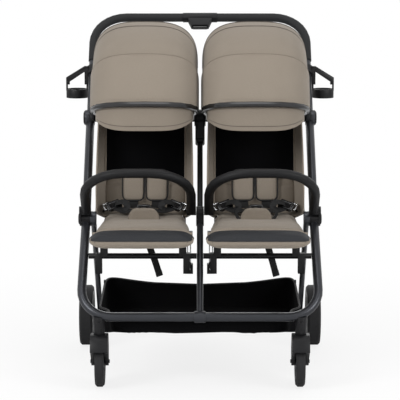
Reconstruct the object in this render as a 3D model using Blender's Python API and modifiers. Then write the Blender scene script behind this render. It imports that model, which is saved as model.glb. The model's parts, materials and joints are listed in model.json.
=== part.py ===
"""Side-by-side double stroller: open frame on two castors and two rear wheels, with two seats."""

import bmesh
import bpy
from math import acos, cos, degrees, pi, radians, sin, sqrt
from mathutils import Matrix, Vector

# Axes: +Z up, the children face -Y, +X is the pusher's left. Lengths in metres, angles in degrees.

GAP = 0.0003

# Frame line seen from the side: lower joint, upper joint and handlebar lie on one straight line.
FRAME_ANGLE = 45.0
LOWER_JOINT_Y = -0.140
LOWER_JOINT_Z = 0.470
UPPER_JOINT_REACH = 0.386
HANDLE_REACH = 0.8005
FRAME_HALF_WIDTH = 0.3415
FRAME_TUBE_RADIUS = 0.0130
FRAME_TUBE_INNER_X = FRAME_HALF_WIDTH - FRAME_TUBE_RADIUS

# Front frame, a U whose crossbar carries the castors.
CROSSBAR_Y = -0.360
CROSSBAR_Z = 0.2165
CROSSBAR_RADIUS = 0.0135
FRONT_LEG_SPLAY = 0.0075
FRONT_LEG_LOW_X = FRAME_HALF_WIDTH + FRONT_LEG_SPLAY
FRONT_CORNER_RADIUS = 0.090
CENTRE_LEG_RADIUS = 0.0095
CENTRE_CLAMP_HALF_WIDTH = 0.016
CENTRE_CLAMP_WALL = 0.0035

# Joint housings.
LOWER_HOUSING_RADIUS = 0.0225
UPPER_HOUSING_RADIUS = 0.0240
CENTRE_HOUSING_HALF_WIDTH = 0.0115
UPPER_CENTRE_HALF_WIDTH = 0.0095
UPPER_CENTRE_RADIUS = 0.0240
CENTRE_TUBE_RADIUS = 0.0085
HOUSING_PLATE_THICKNESS = 0.0060
HANDLE_PLATE_THICKNESS = 0.0160
LUG_INSET = 0.0010
CUTTER_SPARE = 0.1000

# Seat tube between the front legs and what stands on it.
SEAT_TUBE_RADIUS = 0.0085
SEAT_TUBE_Z = 0.372
BRACKET_WIDTH = 0.022
BRACKET_DEPTH = 0.024
BRACKET_INSET = 0.0245
LINK_BLOCK_HEIGHT = 0.060
LINK_BLOCK_WIDTH = 0.020
LINK_BLOCK_DEPTH = 0.026
LINK_BLOCK_INSET = 0.030

# Hook at the front end of a seat rail, as offsets from the calf rest's hinge.
RAIL_HOOK_REAR = ((0.0028, 0.0), (0.0050, -0.0105))
RAIL_HOOK_FRONT = ((-0.0010, 0.0), (0.0010, -0.0115))
RAIL_HOOK_TOP = 0.014
RAIL_HOOK_UNDER = 0.012

# Wheels.
REAR_AXLE_Y = 0.220
REAR_WHEEL_RADIUS = 0.096
REAR_WHEEL_WIDTH = 0.042
REAR_WHEEL_X = FRAME_HALF_WIDTH + REAR_WHEEL_WIDTH / 2
REAR_LEG_RADIUS = 0.0085
REAR_LEG_X = FRAME_TUBE_INNER_X - GAP - REAR_LEG_RADIUS
REAR_AXLE_RADIUS = 0.0090
FRONT_AXLE_Y = -0.320
FRONT_WHEEL_RADIUS = 0.075
FRONT_WHEEL_WIDTH = 0.027
TYRE_DEPTH = 0.017
TYRE_SHOULDER = 0.006
RIM_INSET = 0.003
REAR_HUB_RADIUS = 0.016
AXLE_PIN_RADIUS = 0.0055
WHEEL_SIDES = 28

# Castors.
CASTOR_INSET = 0.055
CASTOR_X = FRONT_LEG_LOW_X - CASTOR_INSET
CASTOR_Y = -0.355
CASTOR_HOUSING_RADIUS = 0.0175
CASTOR_HOUSING_BOTTOM = 0.164
CASTOR_HOUSING_TOP = 0.217
FORK_HALF_WIDTH = 0.0255
FORK_SLOT_HALF_WIDTH = 0.0147
FORK_WHEEL_CLEARANCE = 0.004
FORK_PIN_PROUD = 0.003
# Corners of the fork as (offset behind the wheel's axle, height above the ground).
FORK_FRONT = ((-0.082, 0.120), (-0.069, 0.118), (-0.022, 0.082))
FORK_REAR = ((0.020, 0.110), (0.004, 0.152))
FORK_EYE = ((-0.014, -0.004), (0.0, -0.013), (0.014, -0.004))
FORK_CROWN_REAR = 0.019
FORK_CROWN_FRONT = 0.021
FORK_CROWN_DROP = 0.012
FORK_CROWN_OVERHANG = 0.036
HOUSING_TAPER = 0.001
HOUSING_SIDES = 28
LOCK_WIDTH = 0.012
LOCK_LENGTH = 0.034
LOCK_THICKNESS = 0.007
LOCK_RAISE = 0.006

# Seats, each in a bay between a push tube and the centre column.
SEAT_BAY_LAP = 0.004
SEAT_BAY_INNER_X = CENTRE_HOUSING_HALF_WIDTH - SEAT_BAY_LAP
SEAT_BAY_HALF_WIDTH = (FRAME_TUBE_INNER_X - SEAT_BAY_INNER_X) / 2
SEAT_X = SEAT_BAY_INNER_X + SEAT_BAY_HALF_WIDTH
HINGE_BAR_RADIUS = 0.0060
RAIL_INSET = 0.0215
RAIL_WIDTH = 0.010
RAIL_DEPTH = 0.008
SEAT_SIDE_ROOM = 0.0195
SEAT_HALF_WIDTH = SEAT_BAY_HALF_WIDTH - SEAT_SIDE_ROOM
RAIL_SPREAD = SEAT_HALF_WIDTH - RAIL_INSET
BRACKET_SPREAD = SEAT_HALF_WIDTH - BRACKET_INSET
SEAT_REAR_Y = -0.030
SEAT_FRONT_Y = -0.312
SEAT_TOP_Z = 0.466
SEAT_THICKNESS = 0.034
SEAT_CROWN = 0.008
SEAT_CHANNELS = (-0.50, 0.70)
CHANNEL_DEPTH = 0.0035
CALF_SIDE_ROOM = 0.0055
CALF_HALF_WIDTH = SEAT_BAY_HALF_WIDTH - CALF_SIDE_ROOM
CALF_LENGTH = 0.116
CALF_THICKNESS = 0.028
CALF_CROWN = 0.006
BACK_HINGE_Y = -0.004
BACK_HINGE_Z = 0.468
BACK_LEAN = 20.0
BACK_START = HINGE_BAR_RADIUS + GAP
BACK_LENGTH = 0.396
BACK_CROWN = 0.006
BACK_CHANNELS = (-0.40, 0.05, 0.45)
BACK_INSET = 0.006
BACK_HALF_WIDTH = SEAT_HALF_WIDTH - BACK_INSET
BACK_THICKNESS = 0.030
WING_THICKNESS = 0.006
WING_INSET = 0.0045
WING_HALF_WIDTH = SEAT_HALF_WIDTH - WING_INSET
WING_DEPTH = 0.110
WING_LOW = 0.006
WING_HIGH = 0.380
WING_FOOT_RISE = 0.050
WING_FOOT_SHARE = 0.80
WING_HEAD_SHARE = 0.62
YOKE_HEIGHT = 0.024
YOKE_THICKNESS = 0.0035
YOKE_DROP = 0.020
SHOULDER_PAD_WIDTH = 0.052
SHOULDER_PAD_LENGTH = 0.105
SHOULDER_PAD_THICKNESS = 0.012
SHOULDER_PAD_SPREAD = 0.036
SHOULDER_PAD_LOW = 0.030
SHOULDER_CROWN_FALL = 0.0024
BUCKLE_WIDTH = 0.040
BUCKLE_HEIGHT = 0.040
BUCKLE_THICKNESS = 0.016
BUTTON_SIZE = 0.016
BUTTON_BODY = 0.003
BUTTON_PROUD = 0.002
BUTTON_TRAVEL = 0.0025
CROTCH_WIDTH = 0.066
CROTCH_HEIGHT = 0.030
CROTCH_THICKNESS = 0.014
CROTCH_Y = -0.165
CROTCH_BUCKLE_CLEARANCE = 0.003
BUTTON_INSET = 0.004
BUTTON_HEIGHT = 0.0096
SMALL_CROWN = 0.002
PAD_EDGE_DRAW = 0.030
PAD_CORNER_ROUND = 0.060
PAD_EDGE_SHARE = 0.55
PAD_CHANNEL_SHARE = 0.07

# Bumper bars.
BUMPER_RADIUS = 0.0140
BUMPER_PIVOT_UP = 0.0400
BUMPER_REACH = 0.212
BUMPER_RISE = 40.0
BUMPER_CORNER_RADIUS = 0.120
BUMPER_EYE_RADIUS = 0.0135
BUMPER_EYE_WIDTH = 0.0286

# Canopies, sections of one form turned about the upper joint's axis; angles from straight back.
CANOPY_RADIUS = 0.307
CANOPY_OVERHANG = 0.0030
CANOPY_HALF_WIDTH = SEAT_BAY_HALF_WIDTH + CANOPY_OVERHANG
CANOPY_ARCH_BASE = 0.157
CANOPY_POWER = 3.0
CANOPY_CLOTH = 0.0030
CANOPY_NEST = CANOPY_CLOTH + 0.0009
CANOPY_STEP = 7.0
CANOPY_FLARE = 0.115
CANOPY_START = 0.052
CANOPY_HUB_INSET = 0.0127
CANOPY_HUB_HALF_WIDTH = SEAT_BAY_HALF_WIDTH - CANOPY_HUB_INSET
BOW_RADIUS = 0.0088
BOW_CENTRE_RADIUS = CANOPY_RADIUS
BOW_EYE_RADIUS = 0.0130
BOW_INSET = 0.0065
BOW_HALF_WIDTH = CANOPY_HALF_WIDTH - BOW_INSET
BOW_HUB_INSET = 0.0112
BOW_HUB_HALF_WIDTH = SEAT_BAY_HALF_WIDTH - BOW_HUB_INSET
BOW_ANGLE = 166.0
VISOR_CLEARANCE = 0.0009
FRONT_PANEL = (134.0, 165.6)
MID_PANEL = (95.5, 136.0)
REAR_PANEL = (64.0, 97.0)
VISOR_PANEL = (164.0, 181.0)

# Handlebar.
HANDLE_CORNER_RADIUS = 0.105
GRIP_RADIUS = 0.0138
GRIP_RUN = 0.1845
GRIP_END_REACH = HANDLE_REACH - GRIP_RUN
HANDLE_TUBE_RADIUS = 0.0115
FOLD_HOUSING_WIDTH = 0.110
FOLD_HOUSING_WALL = 0.0016
FOLD_HOUSING_DROP = 0.040
FOLD_HOUSING_DEPTH = 0.022
FOLD_HOUSING_TOP_SHARE = 0.78
FOLD_HOUSING_FOOT_SHARE = 0.50
FOLD_BUTTON_WIDTH = 0.046
FOLD_BUTTON_DROP = 0.012
FOLD_BUTTON_DEPTH = 0.012
FOLD_BUTTON_TRAVEL = 0.004

# Cup holders.
CUP_BELOW_GRIP = 0.041
CUP_REACH = GRIP_END_REACH - CUP_BELOW_GRIP
CUP_OUTSET = 0.049
CUP_X = FRAME_HALF_WIDTH + CUP_OUTSET
CUP_RADIUS = 0.0345
CUP_WALL = 0.0035
CUP_HEIGHT = 0.028
CUP_DROP = 0.070
CUP_CLAMP_RADIUS = 0.0170
CUP_CLAMP_LENGTH = 0.030
CUP_ARM_CLEARANCE = 0.0015
CUP_ARM_WIDTH = 0.012
CUP_ARM_TOP = 0.016
CUP_ARM_FALL = 0.036
CUP_ARM_DEPTH = 0.018
CUP_ARM_THICKNESS = 0.016
CUP_ARM_FOOT = 0.006
CUP_ARM_RIM = 0.0110
CUP_ARM_BEAM = 0.0135

# Basket.
BASKET_CASTOR_CLEARANCE = 0.0025
BASKET_HALF_WIDTH = CASTOR_X - CASTOR_HOUSING_RADIUS - BASKET_CASTOR_CLEARANCE
BASKET_LEG_CLEARANCE = 0.0110
BASKET_REAR_HALF_WIDTH = REAR_LEG_X - REAR_LEG_RADIUS - BASKET_LEG_CLEARANCE
BASKET_WALL = 0.0035
BASKET_REAR_Y = 0.150
BASKET_FRONT_TOP_Z = 0.216
BASKET_REAR_TOP_Z = 0.234
BASKET_REAR_SLANT = 0.030
BASKET_BOTTOM_Z = 0.134
BASKET_CLEARANCE = 0.003
CASTOR_SWING = 0.115
BASKET_STEP_LENGTH = 0.030
BASKET_CUTTER_RISE = 0.300

# Brake.
PEDAL_X = 0.0
PEDAL_WIDTH = 0.070
PEDAL_LENGTH = 0.062
PEDAL_THICKNESS = 0.011
PEDAL_WALL = 0.0045
PEDAL_LAP = 0.004
PEDAL_RAISE = 0.003
PEDAL_INSET = 0.001
EDGE_ROUND = 0.003

FRAME_DIRECTION = Vector((0, cos(radians(FRAME_ANGLE)), sin(radians(FRAME_ANGLE))))
LOWER_JOINT = Vector((0, LOWER_JOINT_Y, LOWER_JOINT_Z))
UPPER_JOINT = LOWER_JOINT + FRAME_DIRECTION * UPPER_JOINT_REACH
HANDLE_TOP = LOWER_JOINT + FRAME_DIRECTION * HANDLE_REACH
FRAME_NORMAL = Vector((0, -sin(radians(FRAME_ANGLE)), cos(radians(FRAME_ANGLE))))
CROSSBAR = Vector((0, CROSSBAR_Y, CROSSBAR_Z))
REAR_AXLE = Vector((0, REAR_AXLE_Y, REAR_WHEEL_RADIUS))
FRONT_AXLE = Vector((0, FRONT_AXLE_Y, FRONT_WHEEL_RADIUS))
SEAT_TUBE_SHARE = (SEAT_TUBE_Z - CROSSBAR_Z) / (LOWER_JOINT_Z - CROSSBAR_Z)
SEAT_TUBE_Y = CROSSBAR_Y + (LOWER_JOINT_Y - CROSSBAR_Y) * SEAT_TUBE_SHARE
FRONT_LEG_SEAT_X = FRONT_LEG_LOW_X + (FRAME_HALF_WIDTH - FRONT_LEG_LOW_X) * SEAT_TUBE_SHARE
BUMPER_PIVOT = LOWER_JOINT + FRAME_NORMAL * BUMPER_PIVOT_UP
BACK_HINGE = Vector((0, BACK_HINGE_Y, BACK_HINGE_Z))
CALF_HINGE = Vector((0, SEAT_FRONT_Y - HINGE_BAR_RADIUS - 2 * GAP, SEAT_TOP_Z - SEAT_THICKNESS / 2))
SIDES = (("left", 1), ("right", -1))


def clear_scene():
    for item in list(bpy.data.objects):
        bpy.data.objects.remove(item, do_unlink=True)
    for group in list(bpy.data.collections):
        bpy.data.collections.remove(group)


def new_collection(name):
    group = bpy.data.collections.new(name)
    bpy.context.scene.collection.children.link(group)
    return group


def material(name, colour, roughness, metallic=0.0):
    made = bpy.data.materials.new(name)
    made.use_nodes = True
    shader = made.node_tree.nodes["Principled BSDF"]
    shader.inputs["Base Color"].default_value = (*colour, 1.0)
    shader.inputs["Roughness"].default_value = roughness
    shader.inputs["Metallic"].default_value = metallic
    return made


def put(item, look, parent=None):
    """Adds an object to the stroller, with its material and the pivot that carries it."""
    STROLLER.objects.link(item)
    item.data.materials.clear()
    item.data.materials.append(look)
    if parent is not None:
        item.parent = parent
        item.matrix_parent_inverse = Matrix.Translation(-Vector(parent.location))
    return item


def pivot(name, place, parent=None):
    marker = bpy.data.objects.new(name, None)
    marker.location = place
    marker.empty_display_size = 0.02
    STROLLER.objects.link(marker)
    if parent is not None:
        marker.parent = parent
        marker.matrix_parent_inverse = Matrix.Translation(-Vector(parent.location))
        marker.location = place
    return marker


def mesh_object(name, mesh, origin):
    item = bpy.data.objects.new(name, mesh)
    item.location = origin
    return item


def mesh_from(name, work, smooth=35.0):
    """Turns a bmesh into mesh data with its normals outward."""
    bmesh.ops.recalc_face_normals(work, faces=work.faces[:])
    mesh = bpy.data.meshes.new(name)
    work.to_mesh(mesh)
    work.free()
    mesh.shade_smooth()
    mesh.set_sharp_from_angle(angle=radians(smooth))
    return mesh


def bevel(item, width, segments=1):
    mod = item.modifiers.new("Rounded edges", "BEVEL")
    mod.width = width
    mod.segments = segments
    mod.limit_method = "ANGLE"
    mod.angle_limit = radians(40)
    return item


def box(name, centre, size, rounding=0.0, tilt=0.0):
    """A block centred on a point, turned by an angle about X."""
    work = bmesh.new()
    bmesh.ops.create_cube(work, size=1.0)
    bmesh.ops.scale(work, vec=Vector(size), verts=work.verts[:])
    item = mesh_object(name, mesh_from(name, work), centre)
    item.rotation_euler = (radians(tilt), 0, 0)
    if rounding:
        bevel(item, rounding)
    return item


def cylinder_x(name, centre, radius, width, sides=20, rounding=0.0, flat_down=False):
    """A cylinder along X. With flat_down a facet faces straight down, at the stated radius."""
    work = bmesh.new()
    if flat_down:
        radius /= cos(pi / sides)
    bmesh.ops.create_cone(work, cap_ends=True, segments=sides, radius1=radius, radius2=radius, depth=width)
    half_step = pi / sides if flat_down else 0.0
    bmesh.ops.rotate(work, cent=(0, 0, 0), matrix=Matrix.Rotation(half_step, 3, "Z"), verts=work.verts[:])
    bmesh.ops.rotate(work, cent=(0, 0, 0), matrix=Matrix.Rotation(pi / 2, 3, "Y"), verts=work.verts[:])
    item = mesh_object(name, mesh_from(name, work), centre)
    if rounding:
        bevel(item, rounding)
    return item


def rounded_path(corners, radii, steps=6):
    """Points along straight runs joined by arcs of the given radii at the inner corners."""
    path = [Vector(corners[0])]
    for before, at, after, radius in zip(corners, corners[1:], corners[2:], radii):
        before, at, after = Vector(before), Vector(at), Vector(after)
        back = (before - at).normalized()
        on = (after - at).normalized()
        half = acos(max(-1.0, min(1.0, back.dot(on)))) / 2
        centre = at + (back + on).normalized() * radius / sin(half)
        start = at + back * radius / (sin(half) / cos(half))
        end = at + on * radius / (sin(half) / cos(half))
        first = start - centre
        normal = first.cross(end - centre).normalized()
        sweep = pi - 2 * half
        for step in range(steps + 1):
            path.append(centre + Matrix.Rotation(sweep * step / steps, 3, normal) @ first)
    path.append(Vector(corners[-1]))
    return path


def tube(name, path, radius, origin=(0, 0, 0), resolution=3):
    """A round bar along a path, as a curve with filled ends."""
    data = bpy.data.curves.new(name, "CURVE")
    data.dimensions = "3D"
    data.bevel_depth = radius
    data.bevel_resolution = resolution
    data.use_fill_caps = True
    line = data.splines.new("POLY")
    line.points.add(len(path) - 1)
    for point, place in zip(line.points, path):
        point.co = (*(Vector(place) - Vector(origin)), 1.0)
    line.use_smooth = True
    item = bpy.data.objects.new(name, data)
    item.location = origin
    return item


def as_mesh(item):
    """Replaces a curve object by the mesh that it makes, with its caps welded."""
    holder = bpy.context.scene.collection
    holder.objects.link(item)
    bpy.context.view_layer.update()
    made = bpy.data.meshes.new_from_object(item.evaluated_get(bpy.context.evaluated_depsgraph_get()))
    work = bmesh.new()
    work.from_mesh(made)
    bmesh.ops.remove_doubles(work, verts=work.verts[:], dist=0.00001)
    work.to_mesh(made)
    work.free()
    made.materials.clear()
    made.shade_smooth()
    made.set_sharp_from_angle(angle=radians(35))
    solid = bpy.data.objects.new(item.name, made)
    solid.matrix_world = item.matrix_world.copy()
    name = item.name
    bpy.data.objects.remove(item, do_unlink=True)
    solid.name = name
    return solid


def plate(name, outline, thickness, centre_x, origin):
    """A flat outline in the YZ plane, given from its origin, with its thickness along X."""
    data = bpy.data.curves.new(name, "CURVE")
    data.dimensions = "2D"
    data.fill_mode = "BOTH"
    data.extrude = thickness / 2
    line = data.splines.new("POLY")
    line.points.add(len(outline) - 1)
    for point, (y, z) in zip(line.points, outline):
        point.co = (y, z, 0, 1)
    line.use_cyclic_u = True
    item = bpy.data.objects.new(name, data)
    item.matrix_world = Matrix.Translation((centre_x, origin[1], origin[2])) @ Matrix(
        ((0, 0, 1, 0), (1, 0, 0, 0), (0, 1, 0, 0), (0, 0, 0, 1)))
    return as_mesh(item)


def join(item, *others):
    """Boolean unions that weld the other solids to this one."""
    for other in others:
        use_tool(item, other, "UNION")
    return item


def cut(item, *cutters):
    """Boolean differences that take the other solids out of this one."""
    for cutter in cutters:
        use_tool(item, cutter, "DIFFERENCE")
    return item


def use_tool(item, tool, operation):
    CUTTERS.objects.link(tool)
    tool.name = f"{item.name}_{operation.lower()}_{len(item.modifiers)}"
    tool.hide_render = True
    tool.display_type = "WIRE"
    mod = item.modifiers.new(operation.title(), "BOOLEAN")
    mod.operation = operation
    mod.solver = "EXACT"
    mod.object = tool


def on_frame(x, reach, up=0.0):
    """A point on the frame's line, by its distance from the lower joint."""
    return LOWER_JOINT + FRAME_DIRECTION * reach + FRAME_NORMAL * up + Vector((x, 0, 0))


def arc(radius, start, end, steps, centre=(0.0, 0.0)):
    """Points of a circular arc in a plane, by angles in degrees."""
    turns = [radians(start + (end - start) * step / steps) for step in range(steps + 1)]
    return [(centre[0] + radius * cos(turn), centre[1] + radius * sin(turn)) for turn in turns]


def capsule(big, small, reach, turn, steps=8):
    """Outline of a rounded lug from one round end to another, turned by an angle in degrees."""
    lean = degrees(acos((big - small) / reach))
    far = (reach, 0.0)
    points = arc(big, lean, 360 - lean, steps * 2) + arc(small, -lean, lean, steps, far)
    c, s = cos(radians(turn)), sin(radians(turn))
    return [(y * c - z * s, y * s + z * c) for y, z in points]


def front_path():
    """Centre line of the U from one lower joint to the other."""
    top = Vector((FRAME_HALF_WIDTH, 0, 0))
    low = Vector((FRONT_LEG_LOW_X, 0, 0))
    corners = [LOWER_JOINT + top, CROSSBAR + low, CROSSBAR - low, LOWER_JOINT - top]
    return rounded_path(corners, [FRONT_CORNER_RADIUS] * 2, steps=8)


def front_frame():
    """The U that runs from both lower joints down to the crossbar."""
    frame = as_mesh(tube("front_frame_tube", front_path(), CROSSBAR_RADIUS))
    room = cylinder_x("room", LOWER_JOINT, LOWER_HOUSING_RADIUS + GAP,
                      2 * (FRAME_HALF_WIDTH + CUTTER_SPARE), 32)
    put(cut(frame, room), GRAPHITE)


def centre_leg():
    """The middle front leg with the clamp that holds it on the crossbar."""
    leg = as_mesh(tube("centre_front_leg", [LOWER_JOINT, CROSSBAR], CENTRE_LEG_RADIUS, resolution=3))
    clamp = cylinder_x("clamp", CROSSBAR, CROSSBAR_RADIUS + GAP + CENTRE_CLAMP_WALL,
                       2 * CENTRE_CLAMP_HALF_WIDTH)
    bore = cylinder_x("bore", CROSSBAR, CROSSBAR_RADIUS + GAP, 3 * CENTRE_CLAMP_HALF_WIDTH, 32)
    room = cylinder_x("room", LOWER_JOINT, LOWER_HOUSING_RADIUS + GAP, CUTTER_SPARE, 32)
    put(cut(join(leg, clamp), bore, room), GRAPHITE)


def lug_outline():
    """Outline from a lower housing to the eye that holds a bumper bar."""
    return capsule(LOWER_HOUSING_RADIUS - LUG_INSET, BUMPER_EYE_RADIUS, BUMPER_PIVOT_UP, FRAME_ANGLE + 90)


def side_column(side, sign):
    """One push tube between its lower and upper joint housings."""
    x = sign * FRAME_HALF_WIDTH
    push = as_mesh(tube(f"push_tube_{side}", [on_frame(x, 0), on_frame(x, UPPER_JOINT_REACH)],
                        FRAME_TUBE_RADIUS))
    across = Vector((x, 0, 0))
    rooms = [cylinder_x("room", LOWER_JOINT + across, LOWER_HOUSING_RADIUS + GAP, CUTTER_SPARE, 32),
             cylinder_x("room", UPPER_JOINT + across, UPPER_HOUSING_RADIUS + GAP, CUTTER_SPARE, 32)]
    put(cut(push, *rooms), GRAPHITE)

    outer = FRAME_HALF_WIDTH + FRAME_TUBE_RADIUS + HOUSING_PLATE_THICKNESS
    width = outer - FRAME_TUBE_INNER_X
    middle = sign * (outer + FRAME_TUBE_INNER_X) / 2
    housing = cylinder_x(f"lower_joint_{side}", LOWER_JOINT + Vector((middle, 0, 0)),
                         LOWER_HOUSING_RADIUS, width)
    lug = plate("lug", lug_outline(),
                HOUSING_PLATE_THICKNESS, sign * (outer - HOUSING_PLATE_THICKNESS / 2), LOWER_JOINT)
    put(join(housing, lug), PLASTIC)

    thickness = FRAME_TUBE_RADIUS - GAP / 2
    middle = sign * (FRAME_HALF_WIDTH - GAP / 2 - thickness / 2)
    centre = UPPER_JOINT + Vector((middle, 0, 0))
    put(cylinder_x(f"upper_joint_{side}", centre, UPPER_HOUSING_RADIUS, thickness), PLASTIC)


def centre_column():
    """Lower housing, tube and upper housing between the two seats, as one welded piece."""
    column = cylinder_x("centre_column", LOWER_JOINT, LOWER_HOUSING_RADIUS, 2 * CENTRE_HOUSING_HALF_WIDTH)
    lug = plate("lug", lug_outline(), 2 * CENTRE_HOUSING_HALF_WIDTH - LUG_INSET, 0.0, LOWER_JOINT)
    bar = as_mesh(tube("bar", [on_frame(0, 0), on_frame(0, UPPER_JOINT_REACH)], CENTRE_TUBE_RADIUS))
    head = cylinder_x("head", UPPER_JOINT, UPPER_CENTRE_RADIUS, 2 * UPPER_CENTRE_HALF_WIDTH)
    put(join(column, lug, bar, head), PLASTIC)


def seat_frame(side, sign):
    """Cross tube under a seat with its posts, rails, the two hinge bars and the fold's link blocks."""
    end = sign * (FRONT_LEG_SEAT_X - CROSSBAR_RADIUS - 2 * GAP)
    start = sign * (CENTRE_LEG_RADIUS + GAP)
    at = Vector((0, SEAT_TUBE_Y, SEAT_TUBE_Z))
    ends = [at + Vector((start, 0, 0)), at + Vector((end, 0, 0))]
    bar = as_mesh(tube(f"seat_frame_{side}", ends, SEAT_TUBE_RADIUS))
    under = SEAT_TOP_Z - SEAT_THICKNESS - GAP
    height = under - SEAT_TUBE_Z
    posts = []
    for offset in (-1, 1):
        x = sign * SEAT_X + offset * BRACKET_SPREAD
        posts.append(box("post", at + Vector((x, 0, height / 2)), (BRACKET_WIDTH, BRACKET_DEPTH, height)))
    for x in (abs(start) + LINK_BLOCK_INSET, abs(end) - LINK_BLOCK_INSET):
        posts.append(box("block", at + Vector((sign * x, 0, SEAT_TUBE_RADIUS - LINK_BLOCK_HEIGHT / 2)),
                         (LINK_BLOCK_WIDTH, LINK_BLOCK_DEPTH, LINK_BLOCK_HEIGHT)))
    front, rear = CALF_HINGE, BACK_HINGE
    hook_front = [(front.y + y, front.z + z) for y, z in RAIL_HOOK_FRONT]
    hook_rear = [(front.y + y, front.z + z) for y, z in RAIL_HOOK_REAR]
    outline = [hook_front[0], *hook_rear,
               (front.y + RAIL_HOOK_TOP, under), (rear.y - RAIL_DEPTH / 2, under),
               (rear.y - RAIL_DEPTH / 2, rear.z), (rear.y + RAIL_DEPTH / 2, rear.z),
               (rear.y + RAIL_DEPTH / 2, under - RAIL_DEPTH),
               (front.y + RAIL_HOOK_UNDER, under - RAIL_DEPTH), hook_front[1]]
    for edge in (-1, 1):
        posts.append(plate("rail", outline, RAIL_WIDTH, sign * SEAT_X + edge * RAIL_SPREAD, (0, 0, 0)))
    for hinge in (front, rear):
        posts.append(cylinder_x("hinge_bar", hinge + Vector((sign * SEAT_X, 0, 0)), HINGE_BAR_RADIUS,
                                2 * RAIL_SPREAD + 2 * RAIL_WIDTH, 12))
    put(join(bar, *posts), PLASTIC)


def basket():
    """Open cloth tray between the legs, hung from the crossbar and the rear of the seats."""
    front = CROSSBAR_Y + CROSSBAR_RADIUS + GAP + CENTRE_CLAMP_WALL + GAP
    wheel_room = CASTOR_Y + CASTOR_SWING
    over_wheel = 2 * FRONT_WHEEL_RADIUS + BASKET_CLEARANCE
    front_bottom = CASTOR_HOUSING_BOTTOM + BASKET_CLEARANCE / 2
    wall = BASKET_WALL
    step = wheel_room + BASKET_STEP_LENGTH
    outer = [(front, front_bottom), (wheel_room, over_wheel), (step, BASKET_BOTTOM_Z),
             (BASKET_REAR_Y, BASKET_BOTTOM_Z),
             (BASKET_REAR_Y + BASKET_REAR_SLANT, BASKET_REAR_TOP_Z), (front, BASKET_FRONT_TOP_Z)]
    rise = BASKET_CUTTER_RISE
    spread = rise * BASKET_REAR_SLANT / (BASKET_REAR_TOP_Z - BASKET_BOTTOM_Z)
    inner = [(front + wall, front_bottom + wall), (wheel_room, over_wheel + wall),
             (step, BASKET_BOTTOM_Z + wall), (BASKET_REAR_Y - wall, BASKET_BOTTOM_Z + wall),
             (BASKET_REAR_Y - wall + spread, BASKET_BOTTOM_Z + wall + rise),
             (front + wall, BASKET_FRONT_TOP_Z + rise)]
    tray = plate("basket", outer, 2 * BASKET_HALF_WIDTH, 0.0, (0, 0, 0))
    hollow = plate("hollow", inner, 2 * (BASKET_HALF_WIDTH - wall), 0.0, (0, 0, 0))
    for piece, half in ((tray, BASKET_REAR_HALF_WIDTH), (hollow, BASKET_REAR_HALF_WIDTH - wall)):
        for vert in piece.data.vertices:
            place = piece.matrix_world @ vert.co
            if place.y > wheel_room - GAP:
                place.x = half if place.x > 0 else -half
                vert.co = piece.matrix_world.inverted() @ place
    put(cut(tray, hollow), BLACK_CLOTH)


def wheel(name, centre, radius, width, rim_look, parent):
    """A flat-treaded tyre and the rim inside it, both turned about the axle."""
    tyre = cylinder_x(f"{name}_tyre", centre, radius, width, WHEEL_SIDES, flat_down=True)
    rim_radius = radius - TYRE_DEPTH
    bevel(tyre, TYRE_SHOULDER)
    bore = cylinder_x("bore", centre, rim_radius, 2 * width, WHEEL_SIDES, flat_down=True)
    put(cut(tyre, bore), RUBBER, parent)
    rim = cylinder_x(f"{name}_rim", centre, rim_radius - GAP, width - 2 * RIM_INSET, WHEEL_SIDES,
                     flat_down=True)
    hole = cylinder_x("hole", centre, AXLE_PIN_RADIUS + GAP, 2 * width, 20)
    put(cut(rim, hole), rim_look, parent)


def rear_frame(parent):
    """Two rear legs and the axle tube that joins them, hinged at the lower joints."""
    axle_end = REAR_WHEEL_X + REAR_WHEEL_WIDTH / 2
    reach = Vector((REAR_LEG_X, 0, 0))
    axle = as_mesh(tube("rear_frame", [REAR_AXLE - reach, REAR_AXLE + reach], REAR_AXLE_RADIUS, REAR_AXLE))
    added = [cylinder_x("axle", REAR_AXLE, AXLE_PIN_RADIUS, 2 * axle_end, 20)]
    for sign in (-1, 1):
        side = Vector((sign * REAR_LEG_X, 0, 0))
        added.append(as_mesh(tube("leg", [LOWER_JOINT + side, REAR_AXLE + side], REAR_LEG_RADIUS)))
        added.append(cylinder_x("hub", REAR_AXLE + side, REAR_HUB_RADIUS, 2 * REAR_LEG_RADIUS))
        added.append(cylinder_x("eye", LOWER_JOINT + side, LOWER_HOUSING_RADIUS, 2 * REAR_LEG_RADIUS))
    put(join(axle, *added), GRAPHITE, parent)


def brake_pedal(parent):
    """A pedal that turns on the rear axle tube."""
    x = Vector((PEDAL_X, 0, 0))
    collar_radius = REAR_AXLE_RADIUS + GAP + PEDAL_WALL
    pedal = cylinder_x("brake_pedal", REAR_AXLE + x, collar_radius, PEDAL_WIDTH)
    offset = Vector((0, collar_radius + PEDAL_LENGTH / 2 - PEDAL_LAP, PEDAL_RAISE))
    tread = box("tread", REAR_AXLE + x + offset,
                (PEDAL_WIDTH - 2 * PEDAL_INSET, PEDAL_LENGTH, PEDAL_THICKNESS), rounding=EDGE_ROUND)
    bore = cylinder_x("bore", REAR_AXLE + x, REAR_AXLE_RADIUS + GAP, 2 * PEDAL_WIDTH, 20)
    put(cut(join(pedal, tread), bore), PLASTIC, parent)


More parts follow.
